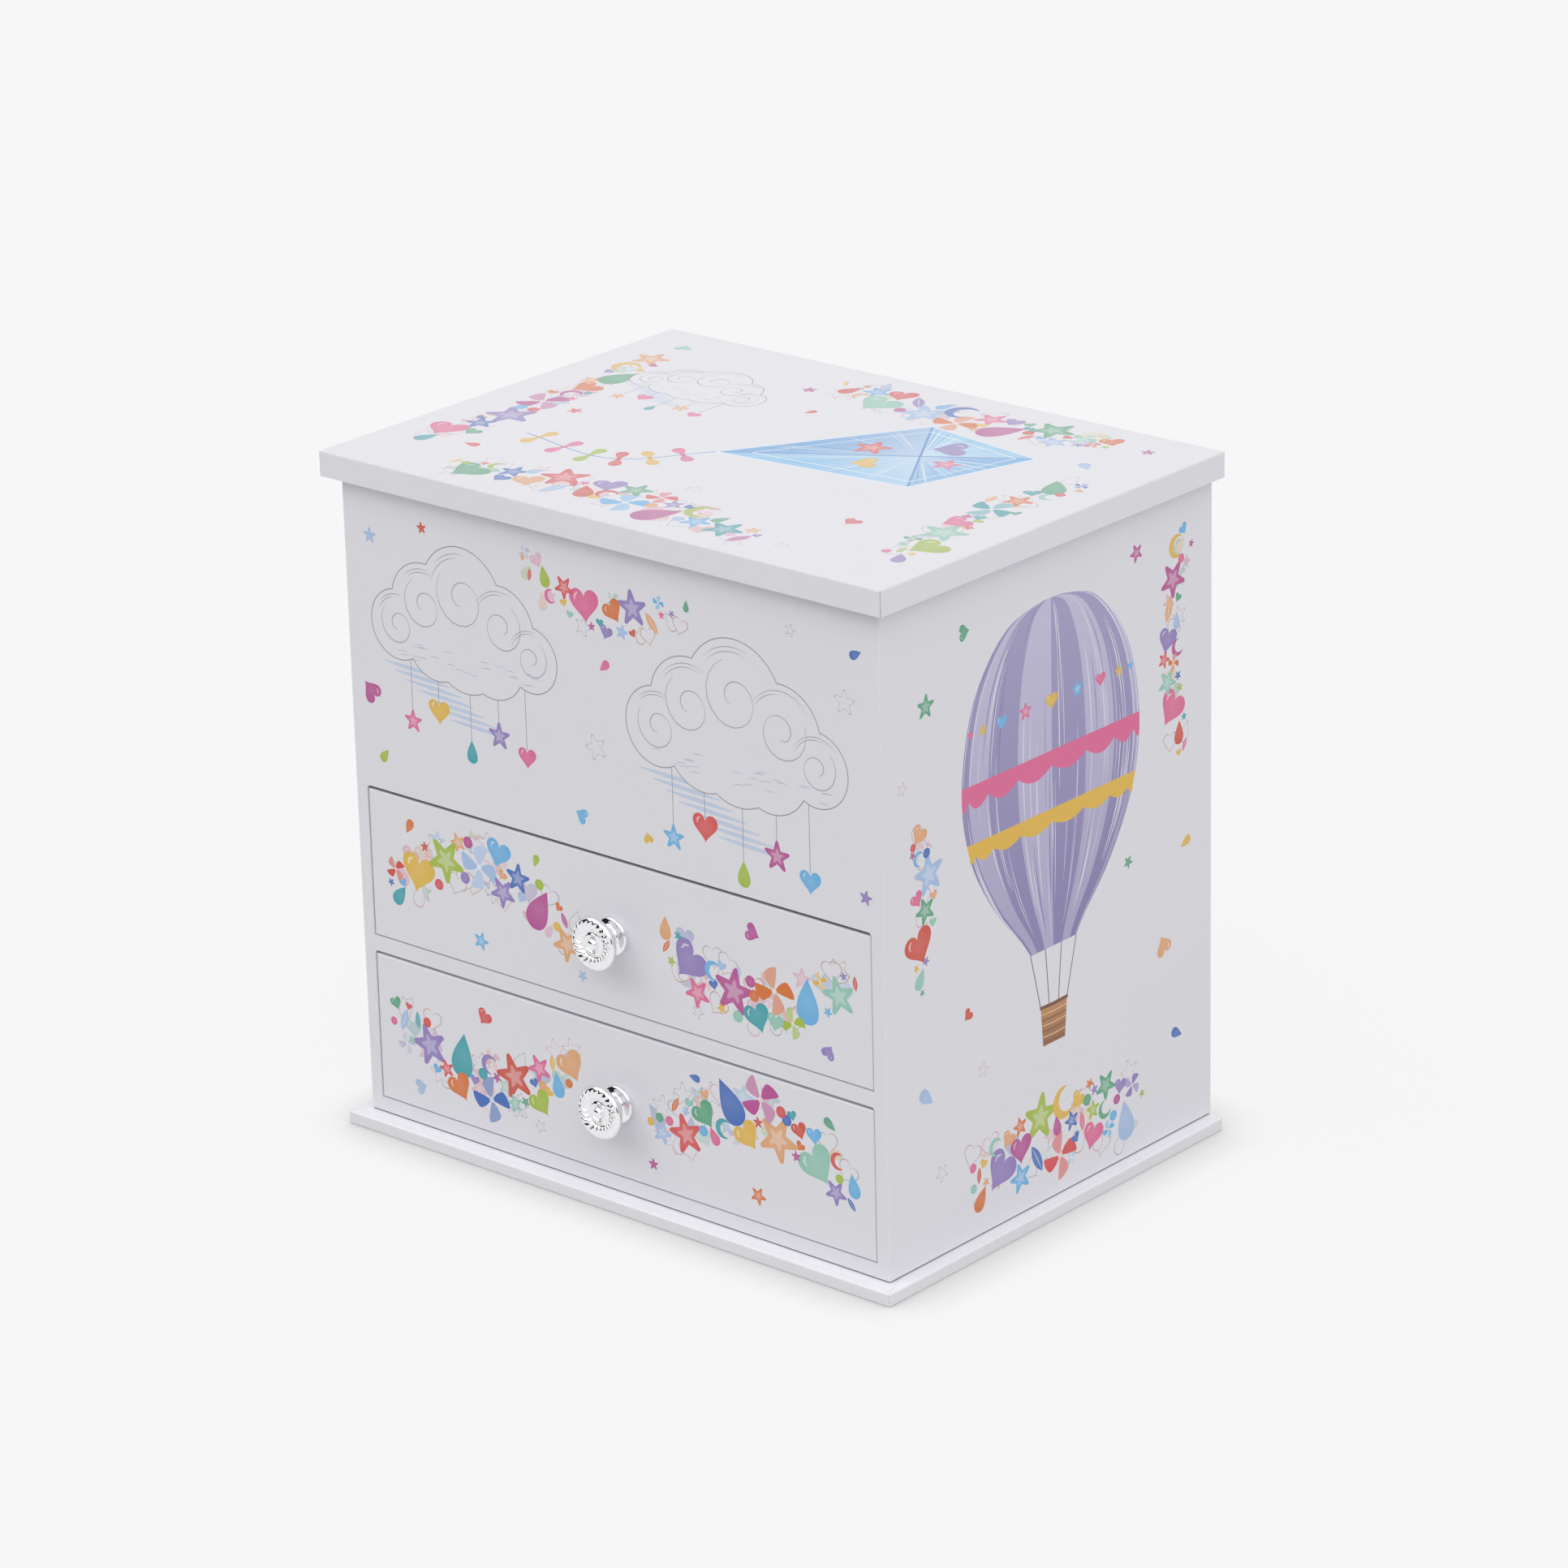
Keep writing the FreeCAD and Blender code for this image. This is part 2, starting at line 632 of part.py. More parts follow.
wrap = new_body("case_wrap_body")
pad(wrap, "XY_Plane", rectangle(("-half_width", "half_width"), ("-half_depth", "half_depth")),
    "plinth_thick", "rim")
round_edges(wrap, "corner_round", upright)
pocket(wrap, "XY_Plane", rectangle(("-side_out", "side_out"), ("board_front", "board_back")),
       "plinth_thick", "rim")
round_edges(wrap, "corner_round - paper_thick", lambda edge: (
    upright(edge) and close(abs(edge.CenterOfMass.x), number("side_out"))
    and close(abs(edge.CenterOfMass.y), number("board_back"))))
for low, high in (("lower_low", "lower_top"), ("upper_low", "upper_top")):
    pocket(wrap, "XZ_Plane", rectangle(SPAN_IN, (low, high)), "-half_depth", "board_front")
pocket(wrap, "XZ_Plane", ("winding_x", "axis_z", "winding_radius + key_hole_gap"),
       "board_back", "half_depth")
keep(cut("case_wrap", wrap, mortises("wrap_mortise", "rim - leaf_thick", "rim")), "case_wrap")


# Lid

lid = new_body("lid_board_body")
pad(lid, "XY_Plane", rectangle(("paper_thick - lid_side", "lid_side - paper_thick"),
                               ("lid_front + paper_thick", "board_back")),
    "rim", "lid_top - paper_thick")
keep(cut("lid_board", lid, mortises("lid_mortise", "rim", "rim + leaf_thick") + [lid_screws]),
     "lid_board")

lid_paper = new_body("lid_wrap_body")
pad(lid_paper, "XY_Plane", rectangle(("-lid_side", "lid_side"), ("lid_front", "half_depth")),
    "rim", "lid_top")
round_edges(lid_paper, "fold_round", lambda edge: not close(edge.CenterOfMass.z, RIM))
pocket(lid_paper, "XY_Plane", rectangle(("paper_thick - lid_side", "lid_side - paper_thick"),
                                        ("lid_front + paper_thick", "board_back")),
       "rim", "lid_top - paper_thick")
keep(cut("lid_wrap", lid_paper, mortises("lid_wrap_mortise", "rim", "rim + leaf_thick")), "lid_wrap")

LINING_X = ("lining_gap - side_in", "side_in - lining_gap")
LINING_Y = ("front_in + lining_gap", "lining_back")
lining = new_body("lid_lining")
pad(lining, "XY_Plane", rectangle(LINING_X, LINING_Y), "rim - lining_thick", "rim")
pocket(lining, "XY_Plane", rectangle(
    (f"{LINING_X[0]} + mirror_border", f"{LINING_X[1]} - mirror_border"),
    (f"{LINING_Y[0]} + mirror_border", f"{LINING_Y[1]} - mirror_border")),
    "rim - lining_thick", "rim")
keep(lining, "lid_lining")

glass = new_body("mirror")
pad(glass, "XY_Plane", rectangle(
    (f"{LINING_X[0]} + mirror_border + mirror_gap", f"{LINING_X[1]} - mirror_border - mirror_gap"),
    (f"{LINING_Y[0]} + mirror_border + mirror_gap", f"{LINING_Y[1]} - mirror_border - mirror_gap")),
    "rim - mirror_thick", "rim")
doc.recompute()
bevel = glass.newObject("PartDesign::Chamfer", "mirror_bevel")
bevel.Base = (glass.Group[-2], [f"Edge{i}" for i, edge in enumerate(glass.Group[-2].Shape.Edges, 1)
                                if close(edge.CenterOfMass.z, number("rim - mirror_thick"))])
bind(bevel, Size="mirror_thick / 3")
keep(glass, "mirror")


# Drawers

def turned_knob(label, centre_z):
    # A turned knob with a fluted face, its foot on the drawer front.
    body = new_body(label)
    face = "knob_long"
    dish = f"{face} - knob_dish"
    dome = "knob_radius * 0.24"
    dome_round = f"(({dome}) ^ 2 + knob_dome ^ 2) / (2 * knob_dome)"
    revolve(body, [
        (0, "knob_screw_into"), ("knob_screw_radius", "knob_screw_into"),
        ("knob_screw_radius", 0), ("knob_flange - 0.5", 0),
        ("knob_flange", 0.5), ("knob_flange", 1.2), ("knob_flange - 0.5", 1.7), ("knob_neck", 2.4),
        ("knob_neck", f"{face} - 4.6"), ("knob_neck + 0.5", f"{face} - 4.2"),
        ("knob_radius - 0.4", f"{face} - 1.7", 3, 1),
        ("knob_radius", f"{face} - 1.2"), ("knob_radius", f"{face} - 0.6"),
        ("knob_radius * 0.86", f"{face} + 0.3"), ("knob_radius * 0.68", f"{face} + 0.5"),
        ("knob_radius * 0.56", f"{face} + 0.2"), ("knob_radius * 0.5", dish), (dome, dish),
        (0, f"{dish} + knob_dome", dome_round, -1)])
    flute = pocket(body, "XY_Plane", [
        ("knob_radius * 0.6", -0.55), ("knob_radius + 0.8", 0.9),
        ("knob_radius + 0.8", 1.5), ("knob_radius * 0.6", -0.15)],
        f"{face} - 0.4", f"{face} + 1.2")
    pattern = body.newObject("PartDesign::PolarPattern", label + "_flutes")
    pattern.Originals = [flute]
    pattern.Axis = (flute.Profile[0], ["N_Axis"])
    pattern.Angle = 360
    bind(pattern, Occurrences="knob_flutes")
    body.Tip = pattern
    body.Placement = FreeCAD.Placement(FreeCAD.Vector(), ALONG_Y)
    place(body, 0, "-half_depth", centre_z)
    return body


def drawer(side, low):
    # One drawer: covered front, sides, back, bottom, knob and its screw.
    base = f"{low} + drawer_low_gap"
    front_x = ("-drawer_half", "drawer_half")
    front_z = (base, f"{low} + drawer_high - drawer_top_gap")
    middle = f"({front_z[0]} + {front_z[1]}) / 2"
    hole = ("0", middle, "knob_screw_radius + 0.2")

    paper = new_body(f"{side}_drawer_wrap")
    pad(paper, "XZ_Plane", rectangle(front_x, front_z), "-half_depth", "front_back")
    round_edges(paper, "fold_round",
                lambda edge: not close(edge.CenterOfMass.y, number("front_back")))
    board_x = ("paper_thick - drawer_half", "drawer_half - paper_thick")
    board_z = (f"{front_z[0]} + paper_thick", f"{front_z[1]} - paper_thick")
    pocket(paper, "XZ_Plane", rectangle(board_x, board_z), "board_front", "front_back")
    pocket(paper, "XZ_Plane", hole, "-half_depth", "board_front")
    keep(paper, f"{side}_drawer_wrap")

    front = new_body(f"{side}_drawer_front")
    pad(front, "XZ_Plane", rectangle(board_x, board_z), "board_front", "front_back")
    pocket(front, "XZ_Plane", hole, "board_front", "front_back")
    keep(front, f"{side}_drawer_front")

    high = f"{base} + side_high"
    long = ("front_back", "tray_back")
    keep(box(f"{side}_drawer_left", ("-drawer_out", "-drawer_in"), long, (base, high)),
         f"{side}_drawer_left")
    keep(box(f"{side}_drawer_right", ("drawer_in", "drawer_out"), long, (base, high)),
         f"{side}_drawer_right")
    inside = ("-drawer_in", "drawer_in")
    keep(box(f"{side}_drawer_back", inside, ("tray_back - side_thick", "tray_back"), (base, high)),
         f"{side}_drawer_back")
    keep(box(f"{side}_drawer_bottom", inside, ("front_back", "tray_back - side_thick"),
             (base, f"{base} + tray_bottom_thick")), f"{side}_drawer_bottom")

    keep(turned_knob(f"{side}_knob", middle), f"{side}_knob")
    bolt = screw(number("knob_screw_radius") * 2, 1.6, number("knob_screw_radius"),
                 number("front_thick + knob_screw_into"))
    keep(solid(f"{side}_knob_screw", bolt, 0, "front_back", middle,
               FreeCAD.Rotation(FreeCAD.Vector(1, 0, 0), -90)), f"{side}_knob_screw")


drawer("upper", "upper_low")
drawer("lower", "lower_low")


# Cover over the movement, and the ring cushion

cover_blank = box("cover_top_blank", SPAN_IN, ("cover_front_y", "back_in"),
                  ("cover_low", "cover_top_z"))
bush_hole = rod("bush_hole", "arbor_radius + pivot_gap + bush_wall", "cover_low", "cover_top_z",
                0, "spindle_y")
stop_hole = rod("stop_hole", "stop_radius + 0.3", "cover_low", "cover_top_z", "stop_x", "stop_y")
keep(cut("cover_top", cover_blank, [bush_hole, stop_hole]), "cover_top")
keep(box("cover_front", SPAN_IN, ("cover_front_y", "cover_front_y + cover_thick"),
         ("tray_low", "cover_low")), "cover_front")

bush = new_body("spindle_bush")
BUSH = "arbor_radius + pivot_gap"
revolve(bush, [(BUSH, 0), (f"{BUSH} + bush_wall", 0), (f"{BUSH} + bush_wall", "cover_thick"),
               (BUSH, "cover_thick")])
place(bush, 0, "spindle_y", "cover_low")
keep(bush, "spindle_bush")

ROLLS = 7
roll_y = ("front_in + cushion_gap", "cover_front_y - cushion_gap")
roll_deep = f"(({roll_y[1]}) - ({roll_y[0]})) / {ROLLS}"
crown = "tray_low + cushion_high"
valley = f"{crown} - {roll_deep} * 0.4"
profile = [(roll_y[0], "tray_low"), (roll_y[1], "tray_low"), (roll_y[1], valley)]
for roll in reversed(range(ROLLS)):
    profile.append((f"{roll_y[0]} + {roll_deep} * {roll}", valley, f"{roll_deep} * 0.5125", -1))
cushion = new_body("ring_cushion")
pad(cushion, "YZ_Plane", profile, "cushion_gap - side_in", "cushion_edge")
keep(cushion, "ring_cushion")


# Movement frame: bed, upright plates, comb seat, governor bracket and the arm under the spindle

def bearing(body, x, z, radius, low, high):
    pocket(body, "XZ_Plane", (x, z, f"{radius} + pivot_gap"), low, high)


frame = new_body("movement_frame_body")
pad(frame, "XY_Plane", rectangle(("bed_left", "bed_right"), ("front_plate_low", "rear_plate_high")),
    "tray_low", "bed_top")
pad(frame, "XZ_Plane", rectangle(("-5", "winding_x + 6"), ("bed_top - 0.2", "arm_top")),
    "front_plate_low", "front_plate_high")
pad(frame, "XY_Plane", rectangle(("-2.6", "2.6"), ("front_plate_low", "spindle_y + 2")),
    "arm_low", "arm_top")
rear_top = "lay_z + bracket_half"
pad(frame, "XZ_Plane", rectangle(("fan_x - bracket_half - 2", "winding_x + 6"),
                                 ("bed_top - 0.2", rear_top)), "rear_plate_low", "rear_plate_high")
bracket_z = ("lay_z - bracket_half", rear_top)
pad(frame, "XZ_Plane", rectangle(("fan_x - bracket_half - 2", "fan_x - bracket_half"), bracket_z),
    "bracket_low", "rear_plate_high")
pad(frame, "XZ_Plane", rectangle(("fan_x - bracket_half - 2", "lay_x + 2.4"), bracket_z),
    "bracket_low", "bracket_high")
pad(frame, "XY_Plane", rectangle(("comb_back", "comb_back + comb_seat"),
                                 ("cylinder_low", "cylinder_high")),
    "bed_top - 0.2", "axis_z - comb_thick / 2")
pocket(frame, "XY_Plane", ("0", "spindle_y", "arbor_radius + pivot_gap"), "arm_low", "arm_top")
for x, z, radius, span in (
        ("0", "axis_z", "arbor_radius", ("front_plate_low", "front_plate_high")),
        ("0", "axis_z", "arbor_radius", ("rear_plate_low", "rear_plate_high")),
        ("winding_x", "axis_z", "winding_radius", ("front_plate_low", "front_plate_high")),
        ("winding_x", "axis_z", "winding_radius", ("rear_plate_low", "rear_plate_high")),
        ("lay_x", "lay_z", "pivot_radius", ("rear_plate_low", "rear_plate_high")),
        ("lay_x", "lay_z", "pivot_radius", ("bracket_low", "bracket_high")),
        ("fan_x", "lay_z", "pivot_radius", ("rear_plate_low", "rear_plate_high")),
        ("fan_x", "lay_z", "pivot_radius", ("bracket_low", "bracket_high"))):
    bearing(frame, x, z, radius, *span)

CYLINDER = (number("cylinder_low"), number("cylinder_high"))
comb_screw = screw(1.7, 1.3, 0.9, number("comb_thick") + 4)
seat_x = number("comb_back + comb_seat / 2")
comb_top = number("axis_z + comb_thick / 2")
third = (CYLINDER[1] - CYLINDER[0]) / 4
comb_spots = [FreeCAD.Vector(seat_x, CYLINDER[0] + third * k, comb_top) for k in (1, 3)]
comb_screws = keep(solid("comb_screws", group(comb_screw, comb_spots)), "comb_screws")
bed_screw = screw(1.9, 1.3, 1.0, number("bed_thick") + 3)
bed_spots = [FreeCAD.Vector(number(x), number(y), number("bed_top"))
             for x in ("bed_left + 3", "bed_right - 3")
             for y in ("front_plate_high + 3.5", "rear_plate_low - 3.5")]
bed_screws = keep(solid("movement_screws", group(bed_screw, bed_spots)), "movement_screws")
keep(cut("movement_frame", frame, [comb_screws, bed_screws]), "movement_frame")
floor_blank = box("compartment_floor_blank", SPAN_IN, ("front_in", "back_in"),
                  ("upper_top", "tray_low"))
keep(cut("compartment_floor", floor_blank, [bed_screws]), "compartment_floor")


# Comb with 18 tuned teeth, the bass teeth cut deeper

def comb_outline():
    pitch, slot = number("comb_pitch"), number("comb_slot")
    tip, back_edge = number("comb_tip"), number("comb_back")
    start = (CYLINDER[0] + CYLINDER[1]) / 2 - pitch * COMB_TEETH / 2
    seat = number("comb_back + comb_seat")
    free = tip - seat
    points = [(back_edge, start), (back_edge, start + pitch * COMB_TEETH)]
    for tooth in reversed(range(COMB_TEETH)):
        low, high = start + pitch * tooth, start + pitch * (tooth + 1)
        root = seat + free * (0.06 + 0.42 * tooth / (COMB_TEETH - 1))
        points += [(tip, high - slot / 2), (tip, low + slot / 2)]
        if tooth:
            points += [(root, low + slot / 2), (root, low - slot / 2)]
    return [FreeCAD.Vector(x, y, 0) for x, y in points]


comb_points = comb_outline()
comb_points[0].y += number("comb_slot / 2")
comb_points[1].y -= number("comb_slot / 2")
comb_shape = Part.Face(Part.makePolygon(comb_points + comb_points[:1])).extrude(
    FreeCAD.Vector(0, 0, number("comb_thick")))
comb_blank = solid("comb_blank", comb_shape, 0, 0, "axis_z - comb_thick / 2")
keep(cut("comb", comb_blank, [comb_screws]), "comb")


# Spring barrel, mainspring and winding set

barrel = new_body("spring_barrel")
BARREL_LONG = "great_low - side_play - front_plate_high"
revolve(barrel, [("winding_radius + 0.3", 0), ("barrel_outside", 0),
                 ("barrel_outside", BARREL_LONG), ("barrel_outside - barrel_wall", BARREL_LONG),
                 ("barrel_outside - barrel_wall", "barrel_wall"),
                 ("winding_radius + 0.3", "barrel_wall")])
barrel.Placement = FreeCAD.Placement(FreeCAD.Vector(), FreeCAD.Rotation(FreeCAD.Vector(1, 0, 0), -90))
place(barrel, "winding_x", "front_plate_high", "axis_z")
keep(barrel, "spring_barrel")


def coil(inner, outer, pitch, strip, wide):
    # A flat coil of half circles whose centres take turns at two places.
    count = int((outer - strip / 2 - inner - strip / 2) / (pitch / 2))
    radius = inner + strip / 2
    shift = pitch / 4
    edges = {1: [], -1: []}
    for turn in range(count):
        side = 1 if turn % 2 == 0 else -1
        centre = FreeCAD.Vector(-side * shift, 0, 0)
        size = radius + turn * pitch / 2 + shift
        for face in (1, -1):
            r = size + face * strip / 2
            start = centre + FreeCAD.Vector(side * r, 0, 0)
            middle = centre + FreeCAD.Vector(0, side * r, 0)
            end = centre - FreeCAD.Vector(side * r, 0, 0)
            edges[face].append(Part.Arc(start, middle, end).toShape())
    caps = []
    for which in (0, -1):
        near = [edges[face][which].Vertexes[0 if which == 0 else -1].Point for face in (1, -1)]
        caps.append(Part.makeLine(near[0], near[1]))
    wire = Part.Wire(Part.__sortEdges__(edges[1] + edges[-1] + caps))
    return Part.Face(wire).extrude(FreeCAD.Vector(0, 0, wide))


spring_long = number(f"{BARREL_LONG} - 2 * barrel_wall - 1")
spring = coil(number("winding_radius + 0.8"), number("barrel_outside - barrel_wall - 0.3"),
              number("spring_pitch"), number("spring_thick"), spring_long)
keep(solid("mainspring", spring, "winding_x", "front_plate_high + 2 * barrel_wall", "axis_z",
           FreeCAD.Rotation(FreeCAD.Vector(1, 0, 0), -90)), "mainspring")

arbor = rod("winding_arbor", "winding_radius", "front_plate_low", "key_low + key_long * 0.6",
            "winding_x", 0, "axis_z", "y")
keep(arbor, "winding_arbor")
great = gear(GREAT_TEETH, number("gear_module"), number("wheel_thick"), 180,
             number("winding_radius"), thin=0.10)
great = spokes(great, number("wheel_thick"), number("winding_radius") + 2.2,
               number("great_tip") - 2.6, 3)
keep(solid("great_wheel", great, "winding_x", "great_high", "axis_z", ALONG_Y), "great_wheel")

wing_y = "key_low + key_long - key_wing_radius"
wing_out = "key_wing_radius + key_hub_radius * 0.4"
key_low_z = "axis_z - key_thick / 2"
key_high_z = "axis_z + key_thick / 2"
key_parts = [rod("key_hub", "key_hub_radius", "key_low", "key_low + key_long * 0.75",
                 "winding_x", 0, "axis_z", "y")]
key_holes = [rod("key_bore", "winding_radius", "key_low", "key_low + key_long * 0.6",
                 "winding_x", 0, "axis_z", "y")]
for index, side in enumerate(("-", "+")):
    spot = (f"winding_x {side} ({wing_out})", wing_y)
    key_parts.append(rod(f"key_wing_{index}", "key_wing_radius", key_low_z, key_high_z, *spot))
    key_holes.append(rod(f"key_eye_{index}", "key_eye_radius", key_low_z, key_high_z, *spot))
keep(cut("winding_key", join("winding_key_blank", key_parts), key_holes), "winding_key")


# Cylinder set

cylinder_arbor = Part.makeCylinder(number("arbor_radius"),
                                   number("rear_plate_high - front_plate_low"))
pinion = gear(PINION_TEETH, number("gear_module"), number("pinion_long"), 180 / PINION_TEETH,
              thin=0.10)
pinion.translate(FreeCAD.Vector(0, 0, number("rear_plate_high - pinion_high")))
keep(solid("cylinder_arbor", cylinder_arbor.fuse(pinion), 0, "rear_plate_high", "axis_z", ALONG_Y),
     "cylinder_arbor")


def pinned_cylinder():
    # Raised pins in 18 rings, spaced by a fixed rule so that each ring differs.
    radius, high, wide = number("cylinder_radius"), number("pin_high"), number("pin_wide")
    long, pitch = number("cylinder_long"), number("comb_pitch")
    drum = Part.makeCylinder(radius, long)
    drum = drum.cut(Part.makeCylinder(number("arbor_radius"), long))
    pegs = []
    for ring in range(COMB_TEETH):
        for step in range(3 + ring % 3):
            angle = (ring * 67 + step * 83 + (ring * step) % 5 * 19) % 360
            peg = Part.makeBox(high + 0.3, wide, wide, FreeCAD.Vector(
                radius - 0.3, -wide / 2, 0.2 + pitch * (ring + 0.5) - wide / 2))
            peg.rotate(FreeCAD.Vector(), FreeCAD.Vector(0, 0, 1), angle)
            pegs.append(peg)
    return drum.multiFuse(pegs)


keep(solid("cylinder", pinned_cylinder(), 0, "cylinder_high", "axis_z", ALONG_Y), "cylinder")
governor = gear(GOVERNOR_TEETH, number("train_module"), number("wheel_thick"), 120,
                number("arbor_radius"), thin=0.12, tip=0.85)
governor = spokes(governor, number("wheel_thick"), number("arbor_radius") + 1.6,
                  number("train_module") * (GOVERNOR_TEETH / 2 - 4), 3)
keep(solid("governor_wheel", governor, 0, "governor_high", "axis_z", ALONG_Y), "governor_wheel")


def crown_wheel():
    # A disc with teeth on its front face, a gap at the top.
    module, thick = number("gear_module"), number("wheel_thick")
    radius = number("crown_radius")
    disc = Part.makeCylinder(radius + 0.9, thick)
    disc = disc.cut(Part.makeCylinder(number("arbor_radius"), thick))
    deep = 2.1 * module
    base, tip = 0.62 * module, 0.30 * module
    side = [(-base, -0.1), (base, -0.1), (tip, deep), (-tip, deep)]
    points = [FreeCAD.Vector(radius - 0.8, t, thick + a) for t, a in side]
    tooth = Part.Face(Part.makePolygon(points + points[:1])).extrude(FreeCAD.Vector(1.6, 0, 0))
    teeth = []
    for index in range(CROWN_TEETH):
        copy = tooth.copy()
        copy.rotate(FreeCAD.Vector(), FreeCAD.Vector(0, 0, 1), 90 + 360 * (index + 0.5) / CROWN_TEETH)
        teeth.append(copy)
    return disc.multiFuse(teeth)


keep(solid("crown_wheel", crown_wheel(), 0, "crown_high", "axis_z", ALONG_Y), "crown_wheel")


# Layshaft and governor fan

lay = Part.makeCylinder(number("pivot_radius"), number("rear_plate_high - bracket_low"))
lay_wheel = gear(LAY_TEETH, number("fan_module"), number("wheel_thick"), 180, thin=0.12, tip=0.85)
lay_wheel = spokes(lay_wheel, number("wheel_thick"), number("pivot_radius") + 1.4,
                   number("fan_module") * (LAY_TEETH / 2 - 4), 2)
lay_wheel.translate(FreeCAD.Vector(0, 0, number("rear_plate_high - lay_wheel_high")))
lay_pinion = gear(LAY_PINION_TEETH, number("train_module"), number("wheel_thick"),
                  -60 + 180 / LAY_PINION_TEETH, thin=0.14, tip=0.8)
lay_pinion.translate(FreeCAD.Vector(0, 0, number("rear_plate_high - governor_high")))
keep(solid("layshaft", lay.multiFuse([lay_wheel, lay_pinion]), "lay_x", "rear_plate_high", "lay_z",
           ALONG_Y), "layshaft")

fan_low = number("rear_plate_high - bracket_low + fan_gap")
fan_arbor = Part.makeCylinder(number("pivot_radius"), fan_low + number("fan_long"))
fan_pinion = gear(FAN_TEETH, number("fan_module"), number("wheel_thick"), 180 / FAN_TEETH,
                  thin=0.14, tip=0.8)
fan_pinion.translate(FreeCAD.Vector(0, 0, number("rear_plate_high - lay_wheel_high")))
blade = Part.makeBox(2 * number("fan_radius"), 0.5, number("fan_long"),
                     FreeCAD.Vector(-number("fan_radius"), -0.25, fan_low))
blade_across = blade.copy()
blade_across.rotate(FreeCAD.Vector(), FreeCAD.Vector(0, 0, 1), 90)
keep(solid("governor_fan", fan_arbor.multiFuse([fan_pinion, blade, blade_across]), "fan_x",
           "rear_plate_high", "lay_z", ALONG_Y), "governor_fan")


# Dancer set

spindle_low = number("arm_low")
spindle_high = number("dancer_low + disc_thick * 0.6")
spindle = Part.makeCylinder(number("arbor_radius"), spindle_high - spindle_low)
spindle_gear = gear(SPINDLE_TEETH, number("gear_module"), 1.8, 90, thin=0.25, tip=0.9)
spindle_gear.translate(FreeCAD.Vector(0, 0, number("axis_z + crown_radius - 0.9") - spindle_low))
keep(solid("dancer_spindle", spindle.fuse(spindle_gear), 0, "spindle_y", "arm_low"),
     "dancer_spindle")


def dancer_figure():
    # A small plain dancer on a disc, arms raised, one moulding.
    tall = number("figure_top - figure_low")
    disc = number("disc_thick")
    edge = disc * 0.6
    base = Part.makeCylinder(number("disc_radius"), edge)
    base = base.fuse(Part.makeCone(number("disc_radius"), number("disc_radius") - disc + edge, disc - edge,
                                   FreeCAD.Vector(0, 0, edge)))
    base = base.cut(Part.makeCylinder(number("arbor_radius"), disc * 0.6))

    def at(share):
        return disc + tall * share

    pieces = []
    for side in (-1, 1):
        foot = FreeCAD.Vector(side * 0.55, 0, at(0) - 0.2)
        hip = FreeCAD.Vector(side * 0.95, 0, at(0.48))
        knee = foot + (hip - foot) * 0.52
        shin = knee - foot
        thigh = hip - knee
        pieces.append(Part.makeCone(0.55, 0.95, shin.Length, foot, shin))
        pieces.append(Part.makeCone(0.95, 1.35, thigh.Length, knee, thigh))
        pieces.append(Part.makeSphere(0.95, knee))
    torso = [(0.44, 1.5), (0.48, 2.3), (0.53, 2.0), (0.58, 1.45), (0.65, 2.0), (0.70, 2.1),
             (0.735, 1.5), (0.76, 0.72), (0.80, 0.68)]
    side = [FreeCAD.Vector(r, 0, at(share)) for share, r in torso]
    rim = [FreeCAD.Vector(0, 0, side[0].z)] + side + [FreeCAD.Vector(0, 0, side[-1].z)]
    pieces.append(Part.Face(Part.makePolygon(rim + rim[:1])).revolve(
        FreeCAD.Vector(), FreeCAD.Vector(0, 0, 1), 360))
    pieces.append(Part.makeSphere(2.0, FreeCAD.Vector(0, 0, at(0.845))))
    pieces.append(Part.makeSphere(1.0, FreeCAD.Vector(0, 1.1, at(0.895))))
    for side in (-1, 1):
        shoulder = FreeCAD.Vector(side * 1.5, 0, at(0.715))
        elbow = FreeCAD.Vector(side * 4.6, -0.6, at(0.845))
        hand = FreeCAD.Vector(side * 1.0, -0.9, at(0.985))
        upper = elbow - shoulder
        fore = hand - elbow
        pieces.append(Part.makeCone(0.6, 0.5, upper.Length, shoulder, upper))
        pieces.append(Part.makeSphere(0.5, elbow))
        pieces.append(Part.makeCone(0.5, 0.34, fore.Length, elbow, fore))
    return base.multiFuse(pieces).removeSplitter()


keep(solid("dancer_figure", dancer_figure(), 0, "spindle_y", "dancer_low"), "dancer_figure")


def skirt():
    # A flat flared skirt round the hips.
    tall = number("figure_top - figure_low")
    reach = number("skirt_radius")
    hip = tall * 0.515
    top = [(2.05, 0.35), (reach * 0.55, 0.2), (reach, -1.2)]
    low = [(reach, -1.8), (reach * 0.55, -0.6), (2.05, -0.9)]
    points = [FreeCAD.Vector(r, 0, hip + h) for r, h in top + low]
    ring = Part.Face(Part.makePolygon(points + points[:1]))
    return ring.revolve(FreeCAD.Vector(), FreeCAD.Vector(0, 0, 1), 360)


skirt_blank = solid("dancer_skirt_blank", skirt(), 0, "spindle_y", "figure_low")
figure_tool = next(thing for thing in finished if thing.Label == "dancer_figure")
keep(cut("dancer_skirt", skirt_blank, [figure_tool]), "dancer_skirt")


# Stop rod, pushed down by the closed lid

stop_top = "rim - lining_thick"
stop_foot = "lay_z - stop_radius"
stop_rod = rod("stop_rod_upright", "stop_radius", stop_foot, stop_top, "stop_x", "stop_y")
stop_arm = rod("stop_rod_arm", "stop_radius * 0.8", "stop_x", "fan_x - fan_radius - stop_gap",
               0, "stop_y", "lay_z", "x")
keep(join("stop_rod", [stop_rod, stop_arm]), "stop_rod")


# Write the model

